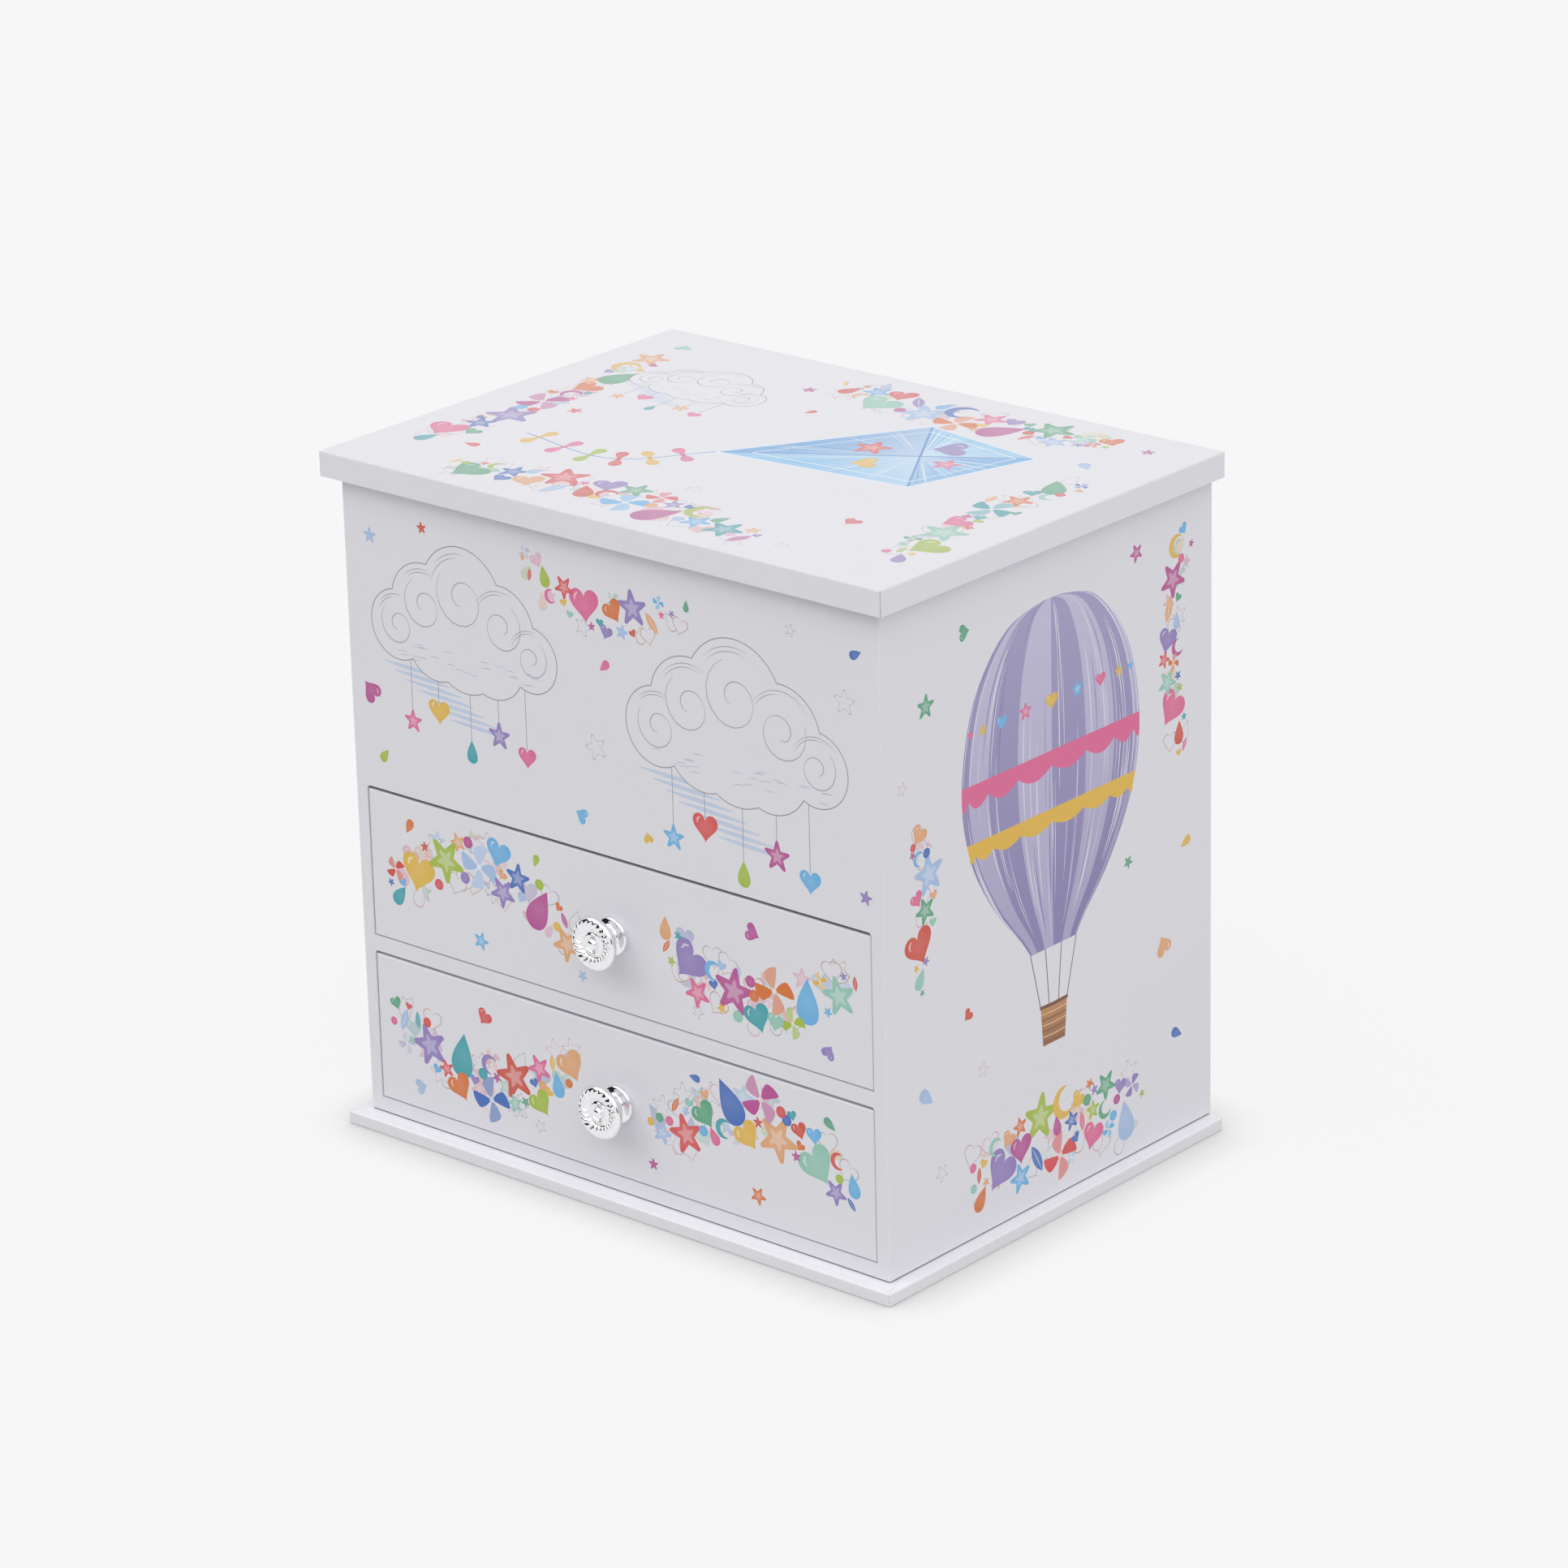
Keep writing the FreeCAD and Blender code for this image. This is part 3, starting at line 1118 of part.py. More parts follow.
doc.recompute()
for thing in doc.Objects:
    if "Invalid" in thing.State or "Error" in thing.State:
        raise RuntimeError(f"{thing.Label} did not build: {thing.State}")
os.makedirs("parts", exist_ok=True)
for thing in finished:
    if thing.Shape.isNull() or not thing.Shape.isValid() or not thing.Shape.Solids:
        raise RuntimeError(f"{thing.Label} has no valid solid")
    thing.Shape.exportStep(f"parts/{thing.Label}.step")
print(len(finished), "pieces written")
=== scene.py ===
import random
from math import atan2, copysign, cos, hypot, pi, radians, sin, sqrt

import bmesh
import bpy
from mathutils import Matrix, Vector
from mathutils.geometry import delaunay_2d_cdt


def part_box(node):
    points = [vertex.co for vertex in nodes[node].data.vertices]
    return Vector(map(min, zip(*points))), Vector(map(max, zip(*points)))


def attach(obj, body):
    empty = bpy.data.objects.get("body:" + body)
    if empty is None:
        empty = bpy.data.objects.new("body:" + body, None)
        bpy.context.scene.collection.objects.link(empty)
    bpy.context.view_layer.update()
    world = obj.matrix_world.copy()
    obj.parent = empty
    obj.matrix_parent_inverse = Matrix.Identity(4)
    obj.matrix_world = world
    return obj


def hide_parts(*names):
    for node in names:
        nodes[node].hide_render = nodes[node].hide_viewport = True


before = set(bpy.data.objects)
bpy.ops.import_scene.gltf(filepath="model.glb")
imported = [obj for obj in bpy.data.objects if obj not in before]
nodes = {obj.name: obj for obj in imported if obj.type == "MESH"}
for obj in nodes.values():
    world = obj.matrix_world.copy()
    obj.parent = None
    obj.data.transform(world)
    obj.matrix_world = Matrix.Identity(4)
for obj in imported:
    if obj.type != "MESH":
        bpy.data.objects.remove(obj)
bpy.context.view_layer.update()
MM = 0.001


def span(node):
    # Lowest and highest corner of a CAD node, in millimetres.
    low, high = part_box(node)
    return low / MM, high / MM


# Shader sums

def sum_method(operation, swapped=False):
    # A method of Link that adds a Math node for the socket and one other value.
    def apply(self, other):
        return self.math(operation, *((other, self) if swapped else (self, other)))
    return apply


class Link:
    # A socket that takes part in sums: each operation adds one Math node.
    def __init__(self, socket):
        self.socket = socket

    def node(self, kind, settings=(), inputs=(), output=0):
        # Any node: its type, its settings, then the values or links of its sockets.
        made = self.socket.id_data.nodes.new("ShaderNode" + kind)
        for name, value in dict(settings).items():
            setattr(made, name, value)
        for name, value in dict(inputs).items():
            if isinstance(value, Link):
                self.socket.id_data.links.new(value.socket, made.inputs[name])
            else:
                made.inputs[name].default_value = value
        return Link(made.outputs[output])

    def math(self, operation, *values):
        # One Math node, on this socket alone where no values are given.
        return self.node("Math", {"operation": operation}, dict(enumerate(values or (self,))))

    __add__, __radd__ = sum_method("ADD"), sum_method("ADD", True)
    __sub__, __rsub__ = sum_method("SUBTRACT"), sum_method("SUBTRACT", True)
    __mul__, __rmul__ = sum_method("MULTIPLY"), sum_method("MULTIPLY", True)
    __truediv__ = sum_method("DIVIDE")
    __gt__, __lt__ = sum_method("GREATER_THAN"), sum_method("LESS_THAN")
    least, most = sum_method("MINIMUM"), sum_method("MAXIMUM")

    def __abs__(self):
        return self.math("ABSOLUTE")

    def ease(self, low, high):
        # 0 below low, 1 above high, smooth between them.
        return self.node("MapRange", {"interpolation_type": "SMOOTHSTEP"},
                         {"Value": self, "From Min": low, "From Max": high})

    def axes(self):
        return [self.node("SeparateXYZ", (), {"Vector": self}, output) for output in range(3)]

    def noise(self, scale, detail=2.0, rough=0.5, stretch=(1, 1, 1)):
        spot = self.node("VectorMath", {"operation": "MULTIPLY"}, {0: self, 1: stretch})
        return self.node("TexNoise", (), {"Vector": spot, "Scale": scale, "Detail": detail,
                                          "Roughness": rough})

    def blend(self, first, second):
        # Mixes two colours, first where this is 0.
        return self.node("Mix", {"data_type": "RGBA"}, {"Factor": self, 6: first, 7: second}, 2)

    def tinted(self, amount):
        # A colour made lighter or darker by a number.
        return self.node("VectorMath", {"operation": "SCALE"}, {"Vector": self, "Scale": amount})

    def bump(self, distance, strength=1.0):
        return self.node("Bump", (), {"Height": self, "Distance": distance, "Strength": strength})


def linear(red, green, blue):
    # A screen colour, 0 to 255, as the light values that shaders take.
    def one(value):
        share = value / 255
        return share / 12.92 if share <= 0.04045 else ((share + 0.055) / 1.055) ** 2.4
    return (one(red), one(green), one(blue), 1.0)


class Finish:
    # A material with its shader and the place on the piece in millimetres.
    def __init__(self, name, **even):
        self.material = bpy.data.materials.new(name)
        self.material.use_nodes = True
        tree = self.material.node_tree
        self.shader = tree.nodes["Principled BSDF"]
        for socket, value in even.items():
            self.shader.inputs[socket.replace("_", " ")].default_value = value
        coordinates = Link(tree.nodes.new("ShaderNodeTexCoord").outputs["Object"])
        self.spot = coordinates.node("VectorMath", {"operation": "SCALE"},
                                     {"Vector": coordinates, "Scale": 1 / MM})
        self.x, self.y, self.z = self.spot.axes()

    def attribute(self, name):
        return self.spot.node("Attribute", {"attribute_name": name}, (), "Color")

    def set(self, **varying):
        # Links what changes over the surface to the sockets of the shader.
        for socket, link in varying.items():
            self.material.node_tree.links.new(
                link.socket, self.shader.inputs[socket.replace("_", " ")])


# Building pieces

def show(name, data):
    # An object at the origin, in the scene.
    made = bpy.data.objects.new(name, data)
    bpy.context.scene.collection.objects.link(made)
    return made


def piece(name, bm, body, finish, replaced=(), smooth=False):
    # A finished mesh in millimetres becomes an object that rides on a body.
    bmesh.ops.scale(bm, vec=(MM, MM, MM), verts=bm.verts)
    mesh = bpy.data.meshes.new(name)
    bm.to_mesh(mesh)
    bm.free()
    for face in mesh.polygons:
        face.use_smooth = smooth
    made = show(name, mesh)
    mesh.materials.append(finish.material)
    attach(made, body)
    if replaced:
        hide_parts(*replaced)
    return made


def dress(finish, *names):
    # Gives CAD nodes a finish.
    for name in names:
        mesh = nodes[name].data
        mesh.materials.clear()
        mesh.materials.append(finish.material)


def smooth_path(points, steps):
    # Catmull-Rom points through an open row of points.
    ends = [points[0]] + list(points) + [points[-1]]
    out = []
    for a, b, c, d in zip(ends, ends[1:], ends[2:], ends[3:]):
        for step in range(steps):
            t = step / steps
            out.append(tuple(
                0.5 * (2 * q + (r - p) * t + (2 * p - 5 * q + 4 * r - s) * t * t
                       + (3 * q - p - 3 * r + s) * t ** 3)
                for p, q, r, s in zip(a, b, c, d)))
    return out + [tuple(points[-1])]


def spin_profile(bm, profile, steps, closed=False):
    # Turns points of radius and height once round the z axis.
    row = [bm.verts.new((r, 0, h)) for r, h in profile]
    ends = row[1:] + row[:1] if closed else row[1:]
    edges = [bm.edges.new(pair) for pair in zip(row, ends)]
    bmesh.ops.spin(bm, geom=row + edges, cent=(0, 0, 0), axis=(0, 0, 1), angle=2 * pi,
                   steps=steps, use_merge=True)


def close_up(bm):
    # Merged seams and poles, and faces that point outwards.
    bmesh.ops.remove_doubles(bm, verts=bm.verts, dist=1e-4)
    bmesh.ops.recalc_face_normals(bm, faces=bm.faces)


VOXEL = 0.17


def moulded(made, rounds):
    # Joins the shapes of a piece into one skin with softened edges.
    joined = made.modifiers.new("one_moulding", "REMESH")
    joined.mode = "VOXEL"
    joined.voxel_size = VOXEL * MM
    joined.use_smooth_shade = True
    soft = made.modifiers.new("soft_edges", "SMOOTH")
    soft.factor = 0.5
    soft.iterations = rounds


# Printed motifs: outlines about the origin, about one unit in radius

def disc(count=20):
    return [(cos(2 * pi * k / count), sin(2 * pi * k / count)) for k in range(count)]


def heart(count=34):
    out = []
    for k in range(count):
        t = 2 * pi * (k + 0.5) / count
        out.append((0.98 * sin(t) ** 3, 0.8 * cos(t) - 0.31 * cos(2 * t)
                    - 0.12 * cos(3 * t) - 0.06 * cos(4 * t)))
    return out


def star(points=5, waist=0.47):
    out = []
    tip = ((-0.13, 0.9), (-0.075, 0.965), (0, 1.0), (0.075, 0.965), (0.13, 0.9), (pi / points, waist))
    for k in range(points):
        middle = pi / 2 + 2 * pi * k / points
        for shift, radius in tip:
            out.append((radius * cos(middle + shift), radius * sin(middle + shift)))
    return out


def drop(count=30):
    out = []
    for k in range(count):
        t = 2 * pi * k / count
        out.append((-0.8 * sin(t) * abs(sin(t / 2)) ** 1.3, cos(t)))
    return out


def leaf(count=11):
    side = [(0.36 * sin(pi * k / count) ** 0.8, 2 * k / count - 1) for k in range(count + 1)]
    return side + [(-x, y) for x, y in reversed(side[1:-1])]


def crescent(count=18):
    outer = [(cos(a), sin(a)) for a in
             (radians(48 + 264 * k / count) for k in range(count + 1))]
    inner = [(0.34 + 0.76 * cos(a), 0.76 * sin(a)) for a in
             (radians(286 - 212 * k / count) for k in range(1, count))]
    return outer + inner


def blade():
    # One sail of a pinwheel.
    edge = [(0.5, 0.0), (0.9, 0.04), (0.98, 0.14), (0.8, 0.42), (0.5, 0.6), (0.2, 0.36)]
    return [(0, 0)] + smooth_path(edge, 4)


MOTIFS = {"heart": heart, "star": star, "drop": drop, "crescent": crescent, "dot": disc, "leaf": leaf}


def put(points, x, y, size, turn=0.0):
    # An outline turned, sized and moved to its place.
    c, s = cos(turn) * size, sin(turn) * size
    return [(x + c * a - s * b, y + s * a + c * b) for a, b in points]


def stroke(path, width, taper=1.0):
    # A brush line along a path, thinner at its ends.
    left, right = [], []
    last = len(path) - 1
    for k, spot in enumerate(path):
        along = Vector(path[min(k + 1, last)]) - Vector(path[max(k - 1, 0)])
        along.normalize()
        half = width / 2 * (1 - taper + taper * sin(pi * (k + 0.4) / (last + 0.8)))
        left.append((spot[0] - along.y * half, spot[1] + along.x * half))
        right.append((spot[0] + along.y * half, spot[1] - along.x * half))
    return left + right[::-1]


def bowed(start, run, bow):
    # A way along a straight run, pushed to one side most in its middle.
    def way(t):
        return tuple(a + b * t + c * sin(pi * t) for a, b, c in zip(start, run, bow))
    return way


ORANGE, YELLOW, PINK = linear(222, 118, 48), linear(232, 188, 72), linear(228, 106, 152)
CORAL, RED, TEAL = linear(222, 84, 84), linear(214, 80, 58), linear(58, 166, 176)
SKY, ROYAL, PALE = linear(110, 184, 232), linear(66, 112, 190), linear(172, 198, 234)
LIME, LILAC, MAGENTA = linear(170, 194, 60), linear(150, 130, 194), linear(190, 80, 152)
MINT, PEACH, GREEN = linear(152, 206, 186), linear(232, 172, 120), linear(92, 170, 132)
BRIGHT = [ORANGE, YELLOW, PINK, CORAL, RED, TEAL, SKY, ROYAL, PALE, LIME, LILAC, MAGENTA, MINT,
          PEACH, GREEN]
LINES = [linear(200, 150, 150), linear(190, 165, 140), linear(165, 165, 175), linear(216, 160, 180)]
GREY_LINE = linear(140, 138, 144)
BARE = linear(233, 232, 237)
FINE_LINE = 0.24
LEAN = 0.7
ANY_TURN = 6.28
RANKS = (1.15, 0.76, 0.48, 0.28)
TRIES = 60


def mixed(first, second, share):
    return tuple(a + (b - a) * share for a, b in zip(first, second))


def paler(ink, share):
    return mixed(ink, (1, 1, 1, 1), share)


def darker(ink, share):
    return mixed(ink, (0, 0, 0, 1), share)


class Art:
    # The print of one sheet: outlines with an ink each, the later ones on top.
    def __init__(self, wash=0.0):
        # wash is the share of bare paper that shows through every ink; on the lid it is painted sheen.
        self.shapes = []
        self.origin = (0.0, 0.0)
        self.wash = wash

    def add(self, points, ink, fade=None, core=False):
        # fade is a second ink with the two places between which the first turns into it,
        # and core makes the middle of the motif lighter than its rim.
        here = Vector(self.origin)
        ink = mixed(ink, BARE, self.wash)
        moved = [Vector(p) + here for p in points]
        if area(moved) < 0:
            moved.reverse()
        shade = None
        if core:
            middle = sum(moved, Vector((0, 0))) / len(moved)
            reach = max((p - middle).length for p in moved)
            light, dark = paler(ink, 0.08), darker(ink, 0.03)

            def shade(spot):
                return mixed(light, dark, min(1, (spot - middle).length / reach))
        elif fade:
            second = mixed(fade[0], BARE, self.wash)
            start, end = Vector(fade[1]) + here, Vector(fade[2]) + here
            way = (end - start) / (end - start).length_squared

            def shade(spot):
                return mixed(ink, second, max(0, min(1, (spot - start).dot(way))))
        self.shapes.append((moved, ink, shade, core))

    def brush(self, ink, path, width, taper=1.0):
        self.add(stroke(path, width, taper), ink)

    def motif(self, kind, x, y, size, turn, ink):
        # One small motif with its finer marks.
        if kind == "pinwheel":
            for k in range(4):
                self.add(put(blade(), x, y, size, turn + pi / 2 * k), paler(ink, 0.25 * (k % 2)))
            self.add(put(disc(8), x, y, size * 0.13), paler(ink, 0.7))
            return
        self.add(put(MOTIFS[kind](), x, y, size, turn), ink, core=True)
        if kind == "leaf":
            vein = put([(0, t) for t in (-0.9, -0.3, 0.3, 0.8)], x, y, size, turn)
            self.brush(paler(ink, 0.45), vein, size * 0.1)
        if kind == "heart" and size > 2:
            shine = put([(-0.62, 0.1), (-0.6, 0.36), (-0.4, 0.52)], x, y, size, turn)
            self.brush(paler(ink, 0.5), shine, size * 0.14)
        if kind == "star" and size > 2.4:
            self.add(put(star(), x, y, size * 0.5, turn), paler(ink, 0.28))

    def line_motif(self, kind, x, y, size, turn, ink):
        # The same motif drawn as a fine line only.
        shape = MOTIFS[kind]()
        self.add(put(shape, x, y, size, turn), ink)
        self.add(put(shape, x, y, size - FINE_LINE * 1.2, turn), BARE)

    def drift(self, rng, way, large, spread, counts):
        # A drift of mixed motifs along a way: pale ones below, then large to small ones that keep
        # clear of each other, with some in fine line between.
        inks = BRIGHT[:]
        rng.shuffle(inks)
        for k in range(sum(counts) // 3):
            x, y = way(rng.random())
            kind = rng.choice(("heart", "star", "drop", "pinwheel"))
            x += rng.gauss(0, 0.3) * spread
            y += rng.uniform(-1.2, 1.2) * spread
            self.motif(kind, x, y, large * rng.uniform(0.35, 0.65), rng.uniform(-LEAN, LEAN),
                       mixed(rng.choice(BRIGHT), BARE, 0.6))
        kinds = ["heart", "star", "pinwheel", "drop", "star", "heart", "leaf", "crescent"]
        placed = []
        solid = []
        for rank, count in enumerate(counts):
            size = large * RANKS[rank]
            for k in range(count):
                for attempt in range(TRIES):
                    share = (k + rng.random()) / count if attempt < TRIES / 2 else rng.random()
                    swell = 0.5 + 0.5 * sin(pi * share) ** 0.7
                    x, y = way(share)
                    x += rng.gauss(0, 0.25) * spread
                    y += rng.uniform(-1, 1) * spread * swell
                    if all(hypot(x - a, y - b) > 0.8 * (size + c) for a, b, c in placed):
                        grown = size * swell ** 0.5
                        placed.append((x, y, grown))
                        kind = kinds[(k + rank * 3) % len(kinds)]
                        if RANKS[rank] == RANKS[-1]:
                            kind = rng.choice(("dot", "heart", "star"))
                        solid.append((kind, x, y, grown, rng.uniform(-LEAN, LEAN),
                                      inks[(len(solid) * 4 + rank) % len(inks)]))
                        break
        for k in range(sum(counts) // 4):
            x, y = way(rng.random())
            kind = rng.choice(("heart", "star", "drop"))
            x += rng.gauss(0, 0.3) * spread
            y += rng.choice((-1.15, 1.15)) * spread * rng.uniform(0.6, 1)
            self.line_motif(kind, x, y, large * 0.6, rng.uniform(-LEAN, LEAN), rng.choice(LINES))
        for motif in solid:
            self.motif(*motif)

    def scatter(self, rng, spots):
        # Single small motifs at chosen places, every fourth one in fine line.
        for k, (x, y, size) in enumerate(spots):
            if k % 4 == 3:
                self.line_motif("star", x, y, size, rng.uniform(0, ANY_TURN), rng.choice(LINES))
            else:
                self.motif(("star", "heart", "drop")[k % 3], x, y, size, rng.uniform(0, ANY_TURN),
                           rng.choice(BRIGHT))

    def cloud(self, rng, x, y, size, rain):
        # A cloud in fine line with pale strokes under it and stars hung from it.
        puffs = [(-0.72, 0.0, 0.3), (-0.42, 0.22, 0.36), (0.0, 0.36, 0.44), (0.42, 0.2, 0.36),
                 (0.74, 0.0, 0.28), (-0.3, -0.06, 0.34), (0.32, -0.08, 0.34), (0.02, -0.04, 0.4)]
        for k in range(7):
            way = [(x + size * (-0.9 + 0.12 * k + 0.5 * t), y - size * (0.34 + 0.06 * k + 0.02 * t))
                   for t in (0, 0.25, 0.5, 0.75, 1.0, 1.25)]
            self.brush(mixed(BARE, PALE, 0.55), way, size * 0.035)
        hangs = [(-0.6, 0.75), (-0.3, 0.5), (0.05, 0.95), (0.36, 0.62), (0.66, 0.8)]
        for k, (dx, long) in enumerate(hangs):
            foot = y - size * (0.28 + long * 0.62)
            along = x + size * dx
            self.brush(GREY_LINE, [(along, y), (along, (y + foot) / 2), (along, foot)], 0.2, 0.0)
            self.motif(("star", "heart", "drop")[k % 3], along, foot - size * 0.06,
                       size * (0.1 + 0.02 * (k % 2)), 0.0, rain[k % len(rain)])
        for ink, grow in ((GREY_LINE, 0.13), (BARE, -0.13)):
            for dx, dy, radius in puffs:
                self.add(put(disc(64), x + size * dx, y + size * dy, size * radius + grow), ink)
        pencil = mixed(GREY_LINE, BARE, 0.2)
        for k, (dx, dy, radius) in enumerate(puffs[:5]):
            start = rng.uniform(20, 60) if k > 2 else rng.uniform(100, 150)
            way = 1 if k > 2 else -1
            curl = []
            for t in range(25):
                turn = radians(start - way * 20 * t)
                reach = size * radius * (0.66 - 0.52 * t / 24)
                curl.append((x + size * dx + reach * cos(turn), y + size * dy + reach * sin(turn)))
            self.brush(pencil, curl[:13], 0.3, 0.7)
            self.brush(pencil, curl[12:], 0.3, 0.7)
            for ring, low, high in ((0.86, 60, 130), (0.78, 80, 150)):
                low, high = low + rng.uniform(-25, 25), high + rng.uniform(-20, 20)
                arc = [(x + size * (dx + radius * ring * cos(radians(a))),
                        y + size * (dy + radius * ring * sin(radians(a))))
                       for a in (low + (high - low) * t / 8 for t in range(9))]
                self.brush(pencil, arc, FINE_LINE)
        for k in range(26):
            px = x + size * rng.uniform(-0.8, 0.8)
            py = y + size * rng.uniform(-0.28, -0.12)
            ink = mixed(GREY_LINE, BARE, 0.4) if k % 3 else mixed(BARE, PALE, 0.9)
            self.brush(ink, [(px, py), (px + size * 0.05, py + 0.3), (px + size * 0.1, py + 0.25)], 0.2)

    def balloon(self, rng, x, y, tall, dark, light, band):
        # A large striped balloon with brush lines, a band of scallops and a basket.
        wide = tall * 0.3
        side = smooth_path([(0.02, 1.0), (0.5, 0.965), (0.86, 0.84), (1.0, 0.66), (0.92, 0.5),
                            (0.66, 0.36), (0.36, 0.26), (0.26, 0.22)], 5)

        def at(turn, k):
            r, h = side[k]
            return (x + wide * r * sin(turn), y + tall * h)

        turns = [radians(-90 + 180 * k / 8) for k in range(9)]
        last = len(side) - 1
        for k in range(8):
            edge = [at(turns[k], j) for j in range(last + 1)]
            other = [at(turns[k + 1], j) for j in reversed(range(last + 1))]
            first = light if k % 2 else dark
            shadow = mixed(first, (0.08, 0.06, 0.2, 1), 0.14 + 0.16 * abs(k - 3.0) / 4)
            self.add(edge[1:] + other[:-1], paler(first, 0.12),
                     (shadow, (x, y + tall * 0.95), (x, y + tall * 0.3)))
        for k in range(84):
            turn = radians(rng.uniform(-84, 84))
            low = rng.randrange(2, last - 12)
            high = low + rng.randrange(7, 12)
            tone = paler(light, 0.55) if k % 3 else mixed(dark, (0.1, 0.08, 0.3, 1), 0.3)
            self.brush(tone, [at(turn, j) for j in range(low, high)], rng.uniform(0.16, 0.5))
        scallops = 16
        for level, deep, ink in ((15, 3, band[0]), (19, 2, band[1])):
            upper, lower = [], []
            for k in range(49):
                turn = radians(-90 + 180 * k / 48)
                upper.append(at(turn, level))
                dip = abs(sin(pi * k * scallops / 48 / 2)) * deep * tall * 0.007
                px, py = at(turn, level + 1)
                lower.append((px, py - dip))
            self.add(upper + lower[::-1], ink)
        for k in range(9):
            turn = radians(-72 + 18 * k)
            px, py = at(turn, 12)
            self.motif("star" if k % 2 else "heart", px, py, tall * 0.017 * cos(turn) + 0.5, 0,
                       band[k % len(band)])
        mouth = side[last]
        basket = [(-0.15, 0.09), (0.15, 0.09), (0.125, 0.0), (-0.125, 0.0)]
        box = [(x + wide * a, y + tall * b) for a, b in basket]
        for a in (-1, -0.35, 0.35, 1):
            rope = [(x + wide * mouth[0] * a, y + tall * mouth[1]),
                    (x + wide * 0.2 * a, y + tall * 0.15), (x + wide * 0.15 * a, y + tall * 0.09)]
            self.brush(linear(120, 92, 80), rope, 0.35, 0.0)
        self.add(box[::-1], linear(196, 142, 92), (linear(150, 100, 66), (x, y + tall * 0.09), (x, y)))
        for k in range(6):
            level = y + tall * (0.008 + 0.013 * k)
            half = wide * (0.126 + 0.0035 * k)
            straw = linear(228, 186, 140) if k % 2 else linear(128, 84, 58)
            self.brush(straw, [(x - half, level), (x, level - 0.25), (x + half, level)], 0.4, 0.3)
        edge = [(x - wide * 0.16, y + tall * 0.09), (x, y + tall * 0.088), (x + wide * 0.16, y + tall * 0.09)]
        self.brush(linear(120, 76, 54), edge, 1.1, 0.2)

    def kite(self, rng, x, y, size, turn, inks, bows):
        # A large kite with brush lines and a long tail of bows.
        corners = [(0, 1.0), (0.62, 0.28), (0, -1.0), (-0.62, 0.28)]
        cross = (0, 0.28)

        def at(spot):
            return put([spot], x, y, size, turn)[0]

        def between(a, b, t):
            return (a[0] + (b[0] - a[0]) * t, a[1] + (b[1] - a[1]) * t)

        def side(ring, k):
            a, b = ring[k], ring[(k + 1) % 4]
            return [a, between(a, b, 0.5), b]

        for k in range(4):
            a, middle, b = side(corners, k)
            self.add([at(cross), at(b), at(a)], inks[k], (paler(inks[k], 0.45), at(middle), at(cross)))
            for j in range(16):
                tip = between(a, b, rng.uniform(0.04, 0.96))
                way = [at(between(cross, tip, s)) for s in (0.25, 0.45, 0.65, 0.85, 0.97)]
                tone = paler(inks[k], 0.6) if j % 3 else mixed(inks[k], ROYAL, 0.45)
                self.brush(tone, way, rng.uniform(0.2, 0.6))
        for a, b in ((corners[0], corners[2]), (corners[1], corners[3])):
            self.brush(mixed(ROYAL, SKY, 0.4), [at(a), at(between(a, b, 0.5)), at(b)], 0.7, 0.0)
        inner = [at(between(cross, c, 0.82)) for c in corners]
        for k in range(4):
            self.brush(paler(inks[k], 0.7), side(inner, k), 0.5, 0.0)
            px, py = at(between(cross, side(corners, k)[1], 0.5))
            self.motif(("star", "heart")[k % 2], px, py, size * (0.1, 0.1, 0.13, 0.13)[k], turn,
                       (PINK, YELLOW, CORAL, LILAC)[k])
        rim = [at(c) for c in corners]
        for k in range(4):
            self.brush(paler(inks[0], 0.75), side(rim, k), 0.9, 0.0)
        tail = [at((0.24 * sin(4.2 * t) * (0.4 + t), -1.0 - 1.25 * t))
                for t in (k / 26 for k in range(27))]
        self.brush(mixed(ROYAL, SKY, 0.5), tail, 0.5, 0.0)
        for k, index in enumerate(range(4, 27, 4)):
            px, py = tail[index]
            ahead = Vector(tail[min(index + 1, 26)]) - Vector(tail[index - 1])
            lean = atan2(ahead.y, ahead.x)
            for hand, turned in ((-1, 0), (1, pi)):
                self.motif("drop", px - hand * 3.1 * sin(lean), py + hand * 3.1 * cos(lean), 3.2,
                           lean + turned, bows[k % len(bows)])
            self.add(put(disc(8), px, py, 0.9), darker(bows[k % len(bows)], 0.2))


def area(points):
    # Above 0 where the outline runs anticlockwise.
    return 0.5 * sum(a[0] * b[1] - b[0] * a[1] for a, b in zip(points, points[1:] + points[:1]))


def covers(points, spot):
    # Whether a place lies inside an outline.
    inside = False
    x, y = spot
    ax, ay = points[-1]
    for bx, by in points:
        if (ay > y) != (by > y) and x < ax + (bx - ax) * (y - ay) / (by - ay):
            inside = not inside
        ax, ay = bx, by
    return inside


# Printed sheets: the print is cut into the flat sheet, which is then folded over the boards

